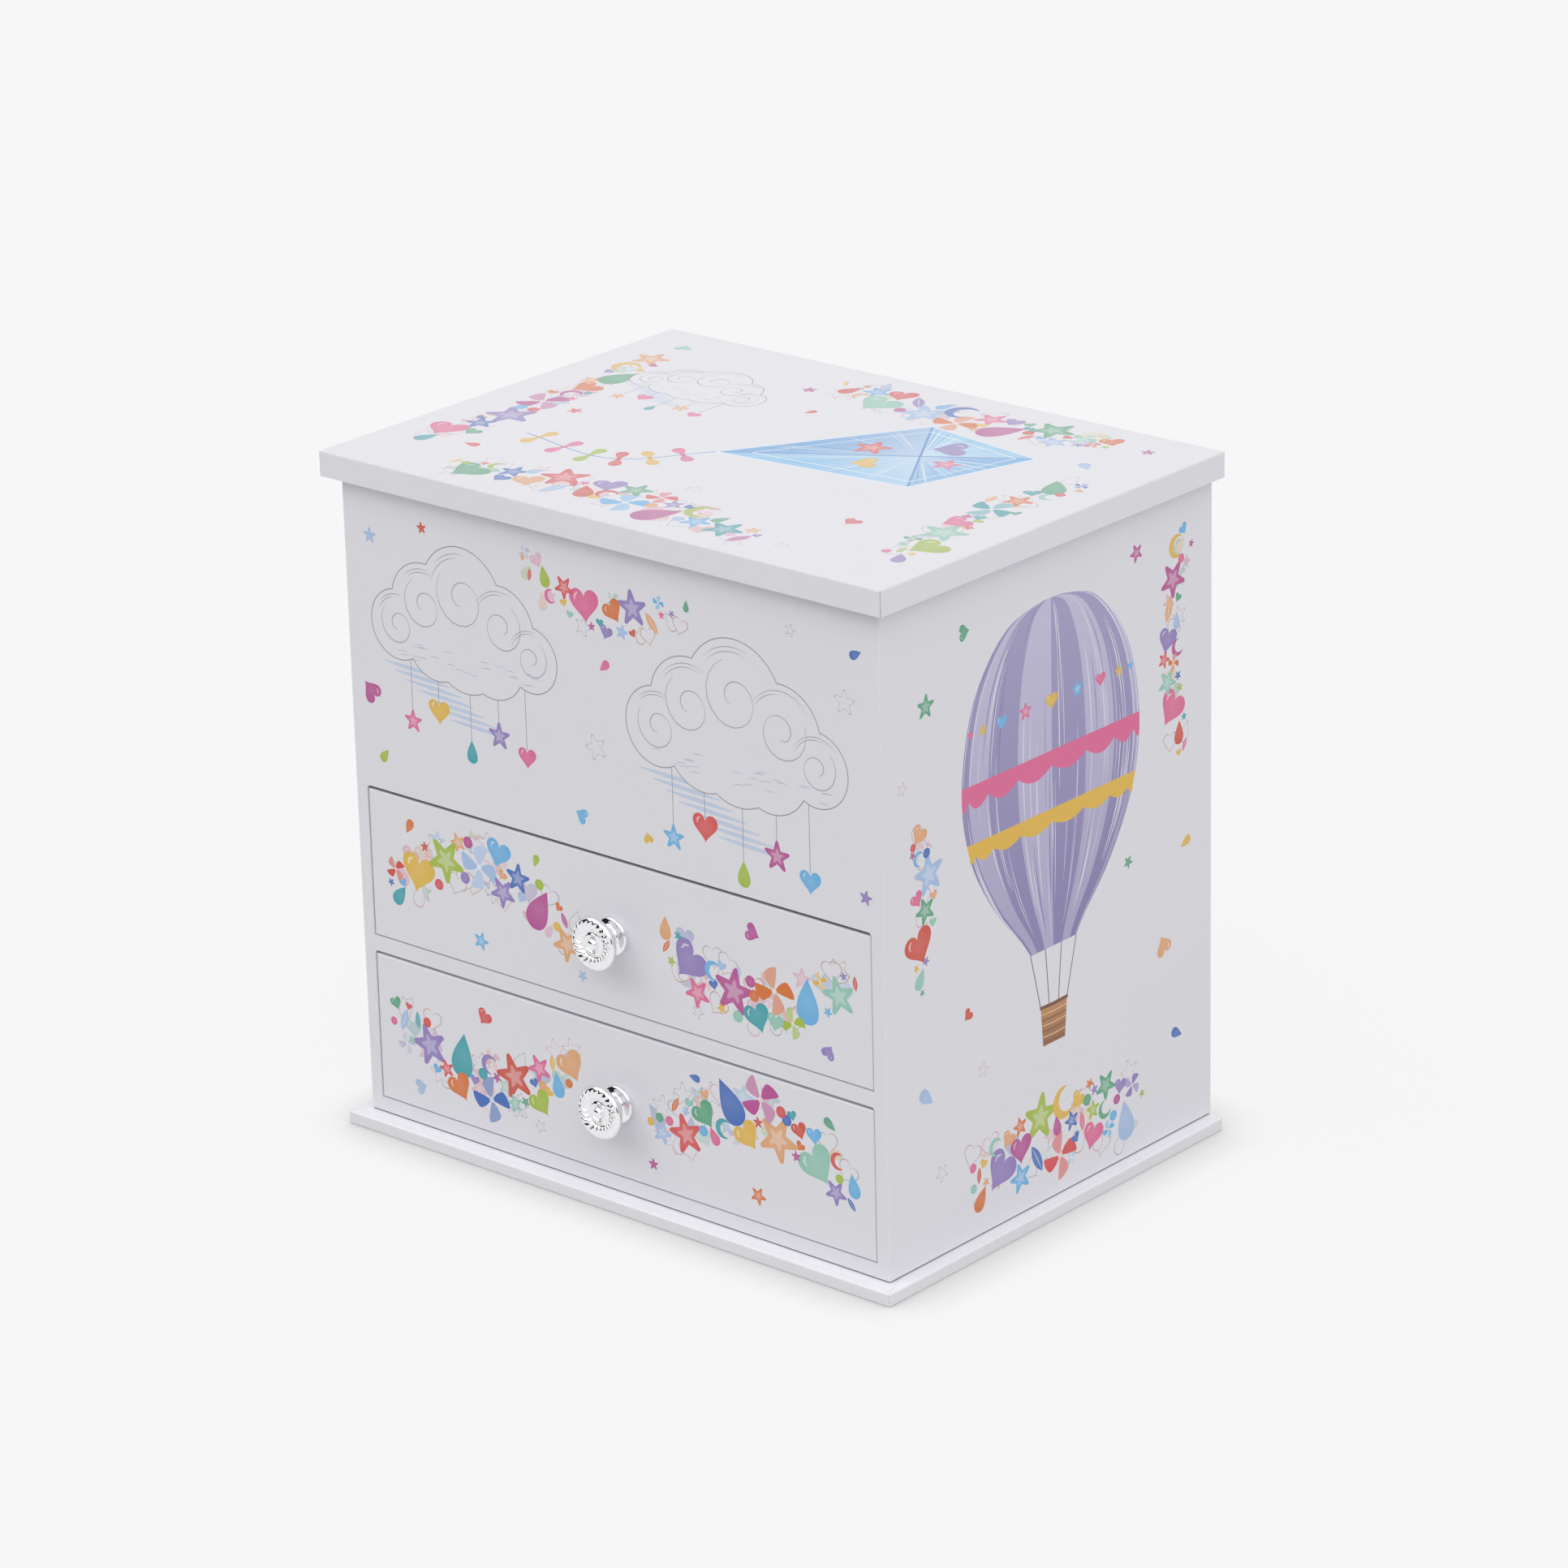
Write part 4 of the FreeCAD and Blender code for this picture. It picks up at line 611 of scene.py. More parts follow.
def printed_sheet(outline, windows, folds, art, fold):
    # Triangles of the flat sheet with one ink each, put in place by the fold function.
    spots = [Vector(p) for p in outline]
    faces = [list(range(len(outline)))]
    for window in windows:
        faces.append(list(range(len(spots), len(spots) + len(window))))
        spots += [Vector(p) for p in window]
    edges = []
    for line in folds:
        edges += [(len(spots) + k, len(spots) + k + 1) for k in range(len(line) - 1)]
        spots += [Vector(p) for p in line]
    first = len(faces)
    for points, ink, shade, core in art.shapes:
        faces.append(list(range(len(spots), len(spots) + len(points))))
        spots += points
    spots += [sum(points, Vector((0, 0))) / len(points)
              for points, ink, shade, core in art.shapes if core]
    flat, _, cells, _, _, owners = delaunay_2d_cdt(spots, edges, faces, 0, 1e-5, True)
    bm = bmesh.new()
    layer = bm.loops.layers.float_color.new("ink")
    corners = {}
    for cell, owner in zip(cells, owners):
        if 0 not in owner or any(0 < o < first for o in owner):
            continue
        for index in cell:
            if index not in corners:
                corners[index] = bm.verts.new(fold(*flat[index]))
        face = bm.faces.new([corners[index] for index in cell])
        middle = sum((flat[index] for index in cell), Vector((0, 0))) / len(cell)
        ink, shade = (*BARE[:3], 0.0), None
        for o in sorted(owner, reverse=True):
            if o >= first and covers(art.shapes[o - first][0], middle):
                ink, shade = art.shapes[o - first][1:3]
                break
        for loop, index in zip(face.loops, cell):
            loop[layer] = shade(flat[index]) if shade else ink
    bmesh.ops.dissolve_degenerate(bm, dist=1e-5, edges=bm.edges)
    return bm


def add_rim(made, thick):
    # The cut edge of the paper.
    rim = made.modifiers.new("paper_edge", "SOLIDIFY")
    rim.thickness = thick * MM
    rim.offset = -1
    rim.use_rim_only = True


ARC_STEPS = 5


def case_fold(half_wide, half_deep, radius):
    # The sheet goes round the case: left side, front, right side, back.
    lines = [2 * (half_deep - radius), 2 * (half_wide - radius)] * 2
    bend = pi / 2 * radius
    centres = [(-half_wide + radius, half_deep - radius), (-half_wide + radius, -half_deep + radius),
               (half_wide - radius, -half_deep + radius), (half_wide - radius, half_deep - radius)]

    def fold(u, v):
        for k in range(4):
            facing = pi + k * pi / 2
            if u <= lines[k] + 1e-9:
                x = centres[k][0] + radius * cos(facing) - u * sin(facing)
                y = centres[k][1] + radius * sin(facing) + u * cos(facing)
                return (x, y, v)
            u -= lines[k]
            if u <= bend + 1e-9 or k == 3:
                turn = facing + u / radius
                cx, cy = centres[(k + 1) % 4]
                return (cx + radius * cos(turn), cy + radius * sin(turn), v)
            u -= bend
    starts = [0.0]
    for k in range(3):
        starts.append(starts[-1] + lines[k] + bend)
    creases = []
    for k in range(4):
        for step in range(ARC_STEPS + 1):
            creases.append(starts[k] + lines[k] + bend * step / ARC_STEPS)
    return fold, starts, creases


def board_fold(half_a, half_b, radius, deep, place):
    # A sheet over a board: the face and four flaps, mitred at the corners.
    bend = pi / 2 * radius
    steps = [(radius * sin(pi / 2 * k / ARC_STEPS), bend * k / ARC_STEPS)
             for k in range(ARC_STEPS + 1)]
    steps.append((radius, bend + deep - radius))

    def side(value, half):
        over = abs(value) - (half - radius)
        if over <= 1e-9:
            return value, 0.0
        sign = 1 if value > 0 else -1
        if over <= bend:
            turn = over / radius
            return sign * (half - radius + radius * sin(turn)), radius * (1 - cos(turn))
        return sign * half, radius + over - bend

    def fold(a, b):
        a, drop_a = side(a, half_a)
        b, drop_b = side(b, half_b)
        return place(a, b, drop_a + drop_b)

    flat_a, flat_b = half_a - radius, half_b - radius
    quarter = [(flat_a + out, -flat_b - far) for out, far in reversed(steps)]
    quarter += [(flat_a + far, -flat_b - out) for out, far in steps[1:]]
    outline = quarter[:]
    outline += [(a, -b) for a, b in reversed(quarter)]
    outline += [(-a, -b) for a, b in quarter]
    outline += [(-a, b) for a, b in reversed(quarter)]
    folds = []
    for out, far in steps[:-1]:
        for sign in (-1, 1):
            a, b = sign * (flat_a + far), sign * (flat_b + far)
            folds.append([(-flat_a - out, b), (flat_a + out, b)])
            folds.append([(a, -flat_b - out), (a, flat_b + out)])
    return fold, outline, folds


# Finishes

def paper_finish(name, base, seams=None):
    # White satin paper, printed or plain, over board.
    made = Finish(name, Coat_Roughness=0.35, IOR=1.48)
    spot = made.spot
    fibre = spot.noise(2.4, 3.0)
    waves = spot.noise(0.035, 2.0)
    tone = 0.985 + 0.02 * fibre + 0.015 * (spot.noise(0.02, 1.0) - 0.5)
    colour = base(made).tinted(tone)
    roughness = 0.36 + 0.1 * fibre
    if seams:
        worn = seams(made)
        colour = worn.blend(colour, linear(120, 116, 122))
        roughness = roughness + 0.3 * worn
    height = 0.12 * fibre + 2.2 * waves + 0.05 * spot.noise(9.0, 2.0)
    made.set(Base_Color=colour, Roughness=roughness, Coat_Weight=0.22 - 0.1 * fibre,
             Normal=height.bump(0.00003, 0.55))
    return made


def inked(made):
    # The print, which the sheet carries as a colour on its corners.
    return made.attribute("ink")


def lid_corner_seams(made):
    # The cut of the paper at the upright corners of the lid, worn in places.
    low, high = span("lid_wrap")
    dx = high.x - abs(made.x)
    dy = (made.y - low.y).least(high.y - made.y)
    wander = (made.spot.noise(0.9, 2.0) - 0.5) * 0.3
    line = 1 - abs(dx + wander - 0.1).ease(0.02, 0.17)
    near = 1 - dy.ease(0.1, 0.3)
    broken = made.spot.noise(0.6, 3.0).ease(0.34, 0.6)
    top = made.z.ease(high.z - 2.0, high.z - 0.6)
    return line * near * (0.18 + 0.5 * broken + 0.3 * top)


CREASE_START = 3.6
NOTCH_IN, NOTCH_HEIGHT = 0.38, 1.5


def plinth_seams(made):
    # Fold lines of the paper from beside the corners of the case to the corners of the plinth,
    # with a small notch where the fold ends.
    case_low, case_high = span("case_wrap")
    low, high = span("plinth_board")
    start = Vector((case_high.x, case_low.y + CREASE_START))
    along = Vector((high.x - 0.5, low.y + 0.3)) - start
    across = Vector((-along.y, along.x)).normalized()
    gap = abs((abs(made.x) - start.x) * across.x + (made.y - start.y) * across.y)
    wander = (made.spot.noise(0.5, 2.0) - 0.5) * 0.2
    outside = (made.y < start.y) * (abs(made.x) > case_high.x - 0.3) * (made.z > 2.2)
    crease = (1 - (gap + wander).ease(0.02, 0.24)) * outside * 0.24
    tick_x = abs(made.x) - high.x + NOTCH_IN
    tick_y = made.y - low.y - NOTCH_IN
    tick = 1 - (tick_x * tick_x + tick_y * tick_y).ease(0.01, 0.05)
    notch = tick * (1 - abs(made.z - NOTCH_HEIGHT).ease(0.25, 0.5)) * 0.55
    return crease.most(notch)


def plinth_white_painted_shade(made):
    # White on top; the upright faces and edges below it are painted a little greyer as shade.
    top = span("plinth_board")[1].z
    return made.z.ease(top - 0.5, top - 0.05).blend(linear(236, 235, 239), linear(244, 243, 247))


printed = paper_finish("printed_paper", inked)
printed_lid = paper_finish("printed_lid_paper", inked, lid_corner_seams)
plain_paper = paper_finish("plinth_paper", plinth_white_painted_shade, plinth_seams)


# Printed papers: their thickness, the radii of their folds, the open seam over the plinth, and what
# is cut out for the winding arbor, the knob screws and the hinges

PAPER = 0.25
CORNER = 0.5
FOLD = 0.4
DRAWER_FOLD = 0.35
SEAM_GAP = 0.4
# Share of bare paper in the lid's inks: painted sheen that pales the top.
LID_PAINTED_SHEEN = 0.2
KEY_HOLE, KNOB_HOLE = 2.3, 1.7
HINGES = (-58.0, 58.0)
HINGE_HALF, HINGE_NOTCH = 10.5, 0.8
case_low, case_high = span("case_wrap")
plinth_top = span("plinth_board")[1].z
shelf_low, shelf_high = span("drawer_shelf")
bays = [(span("bottom_board")[1].z, shelf_low.z), (shelf_high.z, span("compartment_floor")[0].z)]
rng = random.Random(11)


def opening(middle, half, low, high, radius=1.0):
    # A drawer opening in the front, its upper corners rounded.
    arc = [(radius * cos(radians(a)), radius * sin(radians(a))) for a in range(0, 91, 15)]
    upper = [(middle + half - radius + x, high - radius + y) for x, y in arc]
    upper += [(middle - half + radius - x, high - radius + y) for x, y in reversed(arc)]
    return [(middle - half, low), (middle + half, low)] + upper


def case_windows(front, back, rim):
    # Cut-outs for the drawers, the winding arbor and the hinge leaves, about the middle of the
    # front and of the back.
    windows = [opening(front, shelf_high.x, low, high) for low, high in bays]
    low, high = span("winding_arbor")
    windows.append(put(disc(24), back - (low.x + high.x) / 2, (low.z + high.z) / 2, KEY_HOLE))
    for hinge in HINGES:
        start, end = back + hinge - HINGE_HALF, back + hinge + HINGE_HALF
        foot, over = rim - HINGE_NOTCH, rim + 1
        windows.append([(start, foot), (end, foot), (end, over), (start, over)])
    return windows


def side_art(art, dark, light, bands):
    # A side of the case: a balloon among three drifts.
    art.drift(rng, bowed((36, 19), (70, 0), (0, 5)), 6.4, 9.0, (4, 8, 12, 14))
    art.drift(rng, bowed((128, 118), (0, 62), (-5, 0)), 5.4, 5.0, (2, 5, 8, 10))
    art.drift(rng, bowed((13, 84), (0, 44), (4, 0)), 5.4, 5.0, (2, 4, 6, 8))
    art.balloon(rng, case_high.y - CORNER, 50, 128, dark, light, bands)
    art.scatter(rng, [(18, 162, 3.6), (34, 178, 2.4), (16, 52, 3.4), (40, 52, 2.2), (120, 62, 3.4),
                      (130, 90, 2.4), (108, 180, 2.8), (22, 28, 2.6), (126, 34, 2.6), (104, 92, 2.0),
                      (34, 70, 2.0), (8, 142, 2.0)])


def front_art(art):
    # The front above the drawers: two clouds under a drift.
    art.drift(rng, bowed((-30, 182), (60, 0), (0, -10)), 4.8, 4.6, (2, 4, 6, 8))
    art.cloud(rng, -52, 154, 34, (PINK, YELLOW, TEAL, LILAC))
    art.cloud(rng, 46, 145, 38, (SKY, CORAL, LIME, MAGENTA))
    art.scatter(rng, [(-86, 178, 2.4), (-88, 132, 3.6), (-84, 114, 2.4), (-4, 134, 3.8), (-10, 113, 2.4),
                      (88, 180, 2.2), (90, 113, 2.2), (84, 166, 3.6), (0, 158, 2.2), (-66, 184, 1.8),
                      (14, 112, 1.8), (66, 182, 1.8)])


def back_art(art):
    # The back: a long drift near the foot.
    art.drift(rng, bowed((-78, 30), (156, 0), (0, 12)), 6.4, 9.0, (7, 14, 20, 24))
    art.scatter(rng, [(-70, 150, 3.6), (-40, 96, 2.6), (0, 160, 3.2), (44, 120, 2.8), (74, 160, 3.4),
                      (66, 78, 2.4), (-78, 90, 3.0), (-16, 66, 2.4)])


def case_print():
    # One sheet round the case, with its seam at a rear corner.
    fold, starts, creases = case_fold(case_high.x, case_high.y, CORNER)
    front, back = (starts[face] + case_high.x - CORNER for face in (1, 3))
    foot, rim, end = case_low.z + SEAM_GAP, case_high.z, creases[-1]
    art = Art()
    art.origin = (starts[2], 0)
    side_art(art, linear(152, 144, 192), linear(194, 188, 220), (PINK, YELLOW, SKY))
    art.origin = (starts[0], 0)
    side_art(art, linear(140, 152, 200), linear(186, 194, 224), (ORANGE, MINT, PINK))
    art.origin = (front, 0)
    front_art(art)
    art.origin = (back, 0)
    back_art(art)
    sheet = printed_sheet([(0, foot), (end, foot), (end, rim), (0, rim)], case_windows(front, back, rim),
                          [[(u, foot), (u, rim)] for u in creases[:-1]], art, fold)
    add_rim(piece("case_print", sheet, "case", printed, ["case_wrap"]), PAPER)


def lid_print():
    # The sheet over the lid: a kite and a cloud inside a frame of four drifts.
    low, high = span("lid_wrap")
    middle_y = (low.y + high.y) / 2
    fold, outline, folds = board_fold(
        high.x, (high.y - low.y) / 2, FOLD, high.z - low.z,
        lambda a, b, down: (a, middle_y + b, high.z - down))
    # The lid's inks are paled as painted sheen.
    art = Art(LID_PAINTED_SHEEN)
    art.drift(rng, bowed((-85, -44), (0, 90), (5, 0)), 6.8, 7.0, (5, 11, 16, 18))
    art.drift(rng, bowed((-22, 59), (92, 0), (0, -5)), 6.6, 6.4, (5, 11, 16, 18))
    art.drift(rng, bowed((86, -48), (0, 72), (-5, 0)), 6.4, 6.4, (4, 9, 13, 15))
    art.drift(rng, bowed((-60, -60), (104, 0), (0, 6)), 6.6, 6.4, (5, 12, 17, 19))
    sails = (SKY, linear(134, 200, 240), linear(96, 170, 224), linear(150, 208, 242))
    art.kite(rng, 26, 14, 44, radians(-58), sails, (PINK, YELLOW, CORAL, LIME))
    art.cloud(rng, -54, 32, 23, (PEACH, PINK, TEAL))
    art.scatter(rng, [(-28, 50, 2.4), (-84, 60, 2.6), (78, 40, 3.0), (6, -38, 2.4), (58, -34, 2.8),
                      (-14, 34, 2.0), (-68, -4, 2.4), (56, -60, 2.2), (-70, -44, 2.6), (84, 60, 2.2)])
    sheet = printed_sheet(outline, [], folds, art, fold)
    add_rim(piece("lid_print", sheet, "lid", printed_lid, ["lid_wrap"]), PAPER)


def drawer_print(side, flip):
    # The sheet over a drawer front: two bowed drifts, which flip mirrors.
    low, high = span(f"{side}_drawer_wrap")
    middle = (low + high) / 2
    fold, outline, folds = board_fold(
        high.x, (high.z - low.z) / 2, DRAWER_FOLD, high.y - low.y,
        lambda a, b, back: (a, low.y + back, middle.z + b))
    art = Art()
    art.drift(rng, bowed((flip * -83, -5), (flip * 68, 0), (0, 14)), 6.2, 6.2, (5, 11, 16, 20))
    art.drift(rng, bowed((flip * 17, 6), (flip * 67, 0), (0, -13)), 6.2, 6.2, (5, 11, 16, 20))
    spots = [(-50, -14, 2.8), (50, 13, 2.8), (-76, 14, 2.4), (30, -15, 2.0), (76, -15, 2.4),
             (-28, 15, 2.0), (-12, -15, 1.8)]
    art.scatter(rng, [(flip * x, y, size) for x, y, size in spots])
    sheet = printed_sheet(outline, [put(disc(20), 0, 0, KNOB_HOLE)], folds, art, fold)
    add_rim(piece(f"{side}_drawer_print", sheet, f"{side}_drawer", printed,
                  [f"{side}_drawer_wrap"]), PAPER)


case_print()
lid_print()
drawer_print("upper", 1)
drawer_print("lower", -1)


# Plinth in its paper

PLINTH_CORNER = 1.0
PLINTH_UPPER, PLINTH_LOWER = 0.65, 0.5


def wrapped_plinth():
    # The base board in its paper: rounded upright corners, a soft upper edge, a small lower one.
    low, high = span("plinth_board")
    size = high - low
    bm = bmesh.new()
    bmesh.ops.create_cube(bm, size=1.0)
    bmesh.ops.scale(bm, vec=size, verts=bm.verts)
    bmesh.ops.translate(bm, vec=(low + high) / 2, verts=bm.verts)

    def round_off(edges, radius, steps):
        bmesh.ops.bevel(bm, geom=edges, offset=radius, offset_type="OFFSET", segments=steps, profile=0.5,
                        affect="EDGES", material=-1)

    upright = [e for e in bm.edges if abs(e.verts[0].co.z - e.verts[1].co.z) > size.z / 2]
    round_off(upright, PLINTH_CORNER, 6)
    for level, radius, steps in ((high.z, PLINTH_UPPER, 6), (low.z, PLINTH_LOWER, 5)):
        ring = [e for e in bm.edges if all(abs(v.co.z - level) < 1e-4 for v in e.verts)]
        round_off(ring, radius, steps)
    bmesh.ops.recalc_face_normals(bm, faces=bm.faces)
    made = piece("plinth_wrapped", bm, "case", plain_paper, ["plinth_board"], smooth=True)
    even = made.modifiers.new("flat_faces", "WEIGHTED_NORMAL")
    even.weight = 100


wrapped_plinth()


# Boards, lining, velvet and metal

DOT_PITCH, DOT_RADIUS = 7.0, 0.75


def dots(first, second):
    # 1 where a dot of the staggered rows falls.
    rows = []
    for shift in (0.0, 0.5):
        a = (first / DOT_PITCH + shift).math("FRACT") - 0.5
        b = (second / DOT_PITCH + shift).math("FRACT") - 0.5
        gap = (a * a + b * b).math("SQRT") * DOT_PITCH
        rows.append(1 - gap.ease(DOT_RADIUS * 0.85, DOT_RADIUS * 1.1))
    return rows[0].most(rows[1])


def fibre_board(made):
    # Pressed fibre board: brown, with short fibres and darker specks.
    fibre = made.spot.noise(1.3, 4.0, 0.6, (1, 1, 3))
    speck = made.spot.noise(3.6, 2.0).ease(0.62, 0.74)
    brown = fibre.blend(linear(150, 112, 76), linear(206, 172, 132))
    return (speck * 0.6).blend(brown, linear(110, 78, 52))


def gap_shade_board(made):
    # Board edges painted dark as shade, so that the gaps beside them read dark.
    return made.spot.noise(1.3, 4.0, 0.6).blend(linear(96, 89, 85), linear(128, 120, 114))


def lining(made, flat):
    # Lilac lining paper with small pale dots, on flat boards or on upright ones.
    mask = dots(made.x, made.y) if flat else dots(made.x + made.y, made.z)
    wash = made.spot.noise(0.05, 3.0)
    ground = wash.blend(linear(206, 188, 224), linear(214, 198, 230))
    return (mask * 0.85).blend(ground, linear(240, 234, 244))


SEAM_SHADE = 0.6


def board_finish(name, lined, white):
    # A board that is bare, lined or covered in white paper, by place. Its foot, at the seam where the case
    # stands on the plinth, is painted dark as shade in the gap.
    made = Finish(name, IOR=1.45)
    grain = made.spot.noise(2.2, 3.0)
    inside, pattern = lined(made)
    outside = white(made)
    covered = outside.blend(inside.blend(fibre_board(made), pattern), BARE)
    # Painted shade: the foot of the board shows dark in the open seam over the plinth.
    seam = made.z < plinth_top + SEAM_SHADE
    cover = outside.most(inside)
    made.set(Base_Color=seam.blend(covered, linear(74, 70, 78)), Roughness=0.85 - 0.35 * cover + 0.1 * grain,
             Normal=(grain * (1.5 - cover)).bump(0.00005, 0.5))
    return made


def velvet(name, deep, pale):
    # Short pile that is paler where it is brushed the other way.
    made = Finish(name, Roughness=0.92, Sheen_Weight=0.5, Sheen_Roughness=0.4,
                  Sheen_Tint=(1.0, 0.86, 0.94, 1))
    pile = made.spot.noise(6.0, 3.0, 0.6)
    nap = made.spot.noise(0.06, 2.0, 0.5, (1, 1.6, 1))
    made.set(Base_Color=(0.7 * pile + 0.35 * nap).blend(deep, pale),
             Normal=pile.bump(0.00015, 0.6))
    return made


def metal(name, dull, bright, rough, stretch=(1, 1, 1)):
    # Metal with fine brushed lines along one way and faint stains.
    made = Finish(name, Metallic=1.0)
    brushed = made.spot.noise(4.0, 3.0, 0.6, stretch)
    stain = made.spot.noise(0.35, 3.0)
    made.set(Base_Color=(0.5 * stain + 0.5 * brushed).blend(dull, bright),
             Roughness=rough + 0.14 * stain + 0.08 * brushed, Normal=brushed.bump(0.00002, 0.35))
    return made


TURN_IN = 3.0
EDGE = 0.3
lined_above = span("compartment_floor")[1].z - 0.2
lid_under = span("lid_board")[0].z + EDGE


def painted_shade_opening_edges(made):
    # Painted shade on the edges round the drawers: dark over and under them, lighter grey beside them.
    level = abs(made.z - bays[0][0])
    for height in (bays[0][1], *bays[1]):
        level = level.least(abs(made.z - height))
    return (level < EDGE).blend(linear(170, 167, 173), gap_shade_board(made))


def front_lining(made):
    # Lined inside the upper compartment, with painted shade on the edges round the drawers.
    return (made.z > lined_above).blend(painted_shade_opening_edges(made), lining(made, False))


def drawer_board(side):
    # The sides of a drawer: white outside, lined inside.
    corner = span(f"{side}_drawer_right")[1]
    front_back = span(f"{side}_drawer_front")[1].y
    return board_finish(
        f"{side}_tray_board",
        lambda made: ((made.z < corner.z - 0.15).most(made.y < front_back + 0.05), lining(made, False)),
        lambda made: abs(made.x) > corner.x - 0.1)


wall_board = board_finish(
    "case_board", lambda made: (made.z > lined_above, lining(made, False)),
    lambda made: (made.z > case_high.z - TURN_IN).most(made.y < case_low.y + 2 * TURN_IN))
front_board = board_finish(
    "front_board", lambda made: (made.z > 0.0, front_lining(made)),
    lambda made: made.z > case_high.z - TURN_IN)
floor_board = board_finish(
    "inner_board", lambda made: (made.z > lined_above, lining(made, True)),
    lambda made: made.y < case_low.y + 2 * TURN_IN)
lid_board = board_finish(
    "lid_board", lambda made: (made.z < lid_under, lining(made, True)),
    lambda made: made.z < lid_under)
dress(wall_board, "left_panel", "right_panel", "back_panel", "hinge_batten")
dress(front_board, "front_panel")
dress(floor_board, "bottom_board", "drawer_shelf", "compartment_floor")
dress(lid_board, "lid_board")
for side in ("upper", "lower"):
    dress(drawer_board(side), *(f"{side}_drawer_{part}" for part in ("front", "left", "right", "back")))

pink_velvet = velvet("velvet_pink", linear(214, 142, 174), linear(244, 196, 214))
dress(pink_velvet, "cover_top", "cover_front", "upper_drawer_bottom", "lower_drawer_bottom")

lid_lining = Finish("lid_lining", Roughness=0.55)
lid_lining.set(Base_Color=lining(lid_lining, True),
               Normal=lid_lining.spot.noise(2.4, 3.0).bump(0.00003, 0.5))
dress(lid_lining, "lid_lining")

silvered = Finish("mirror_glass", Metallic=1.0)
haze = silvered.spot.noise(0.08, 3.0)
silvered.set(Base_Color=haze.blend(linear(236, 241, 241), linear(239, 244, 244)),
             Roughness=0.01 + 0.008 * haze)
dress(silvered, "mirror")

brass = metal("brass", linear(186, 152, 96), linear(230, 202, 142), 0.2, (1, 6, 1))
steel = metal("steel", linear(150, 150, 154), linear(206, 206, 210), 0.22, (1, 1, 6))
nickel = metal("nickel", linear(150, 148, 145), linear(204, 202, 198), 0.16)
cast = metal("cast_frame", linear(120, 120, 124), linear(170, 170, 172), 0.42)
dress(brass, "hinge_case_leaves", "hinge_lid_leaves", "hinge_pins", "great_wheel", "cylinder",
      "spring_barrel", "governor_wheel", "crown_wheel", "spindle_bush")
dress(steel, "hinge_case_screws", "hinge_lid_screws", "movement_screws", "comb", "comb_screws", "mainspring",
      "winding_arbor", "cylinder_arbor", "layshaft", "dancer_spindle", "stop_rod",
      "upper_knob_screw", "lower_knob_screw")
dress(cast, "movement_frame")

fan_plastic = Finish("fan_plastic", IOR=1.5)
grain = fan_plastic.spot.noise(1.5, 2.0)
fan_plastic.set(Base_Color=grain.blend(linear(226, 222, 210), linear(240, 238, 230)),
                Roughness=0.35 + 0.15 * grain)
dress(fan_plastic, "governor_fan")


# Winding key

WING_HALF_THICK = 0.85
WING_SQUARE = 0.6


def winding_key():
    # Two flat rings beside a round hub, cast as one.
    low, high = span("winding_key")
    axis = (low + high) / 2
    hub = (high.z - low.z) / 2
    long = (high.y - low.y) * 0.75
    overlap = 0.4 * hub
    wing = ((high.x - low.x) / 2 - overlap) / 2
    eye = wing * 0.45
    section = []
    for k in range(28):
        turn = 2 * pi * k / 28
        out, rise = (abs(f(turn)) ** WING_SQUARE * copysign(1, f(turn)) for f in (cos, sin))
        section.append(((wing + eye) / 2 + (wing - eye) / 2 * out, WING_HALF_THICK * rise))
    bm = bmesh.new()
    for side in (-1, 1):
        spin_profile(bm, section, 72, closed=True)
        fresh = [v for v in bm.verts if not v.tag]
        bmesh.ops.translate(bm, vec=(axis.x + side * (wing + overlap), high.y - wing, axis.z), verts=fresh)
        for vert in bm.verts:
            vert.tag = True
    spin_profile(bm, [(0, 0), (hub - 0.5, 0), (hub, 0.5), (hub, 2.6), (hub - 0.4, 3.0), (hub - 0.4, 3.5),
                      (hub, 3.9), (hub, long - 1.6), (hub - 0.6, long - 0.5), (0, long)], 48)
    fresh = [v for v in bm.verts if not v.tag]
    bmesh.ops.rotate(bm, cent=(0, 0, 0), matrix=Matrix.Rotation(-pi / 2, 3, "X"), verts=fresh)
    bmesh.ops.translate(bm, vec=(axis.x, low.y, axis.z), verts=fresh)
    close_up(bm)
    made = piece("winding_key_cast", bm, "winding_set", nickel, ["winding_key"], smooth=True)
    moulded(made, 5)


winding_key()


# Ring cushion

ROLL_END = 5.5


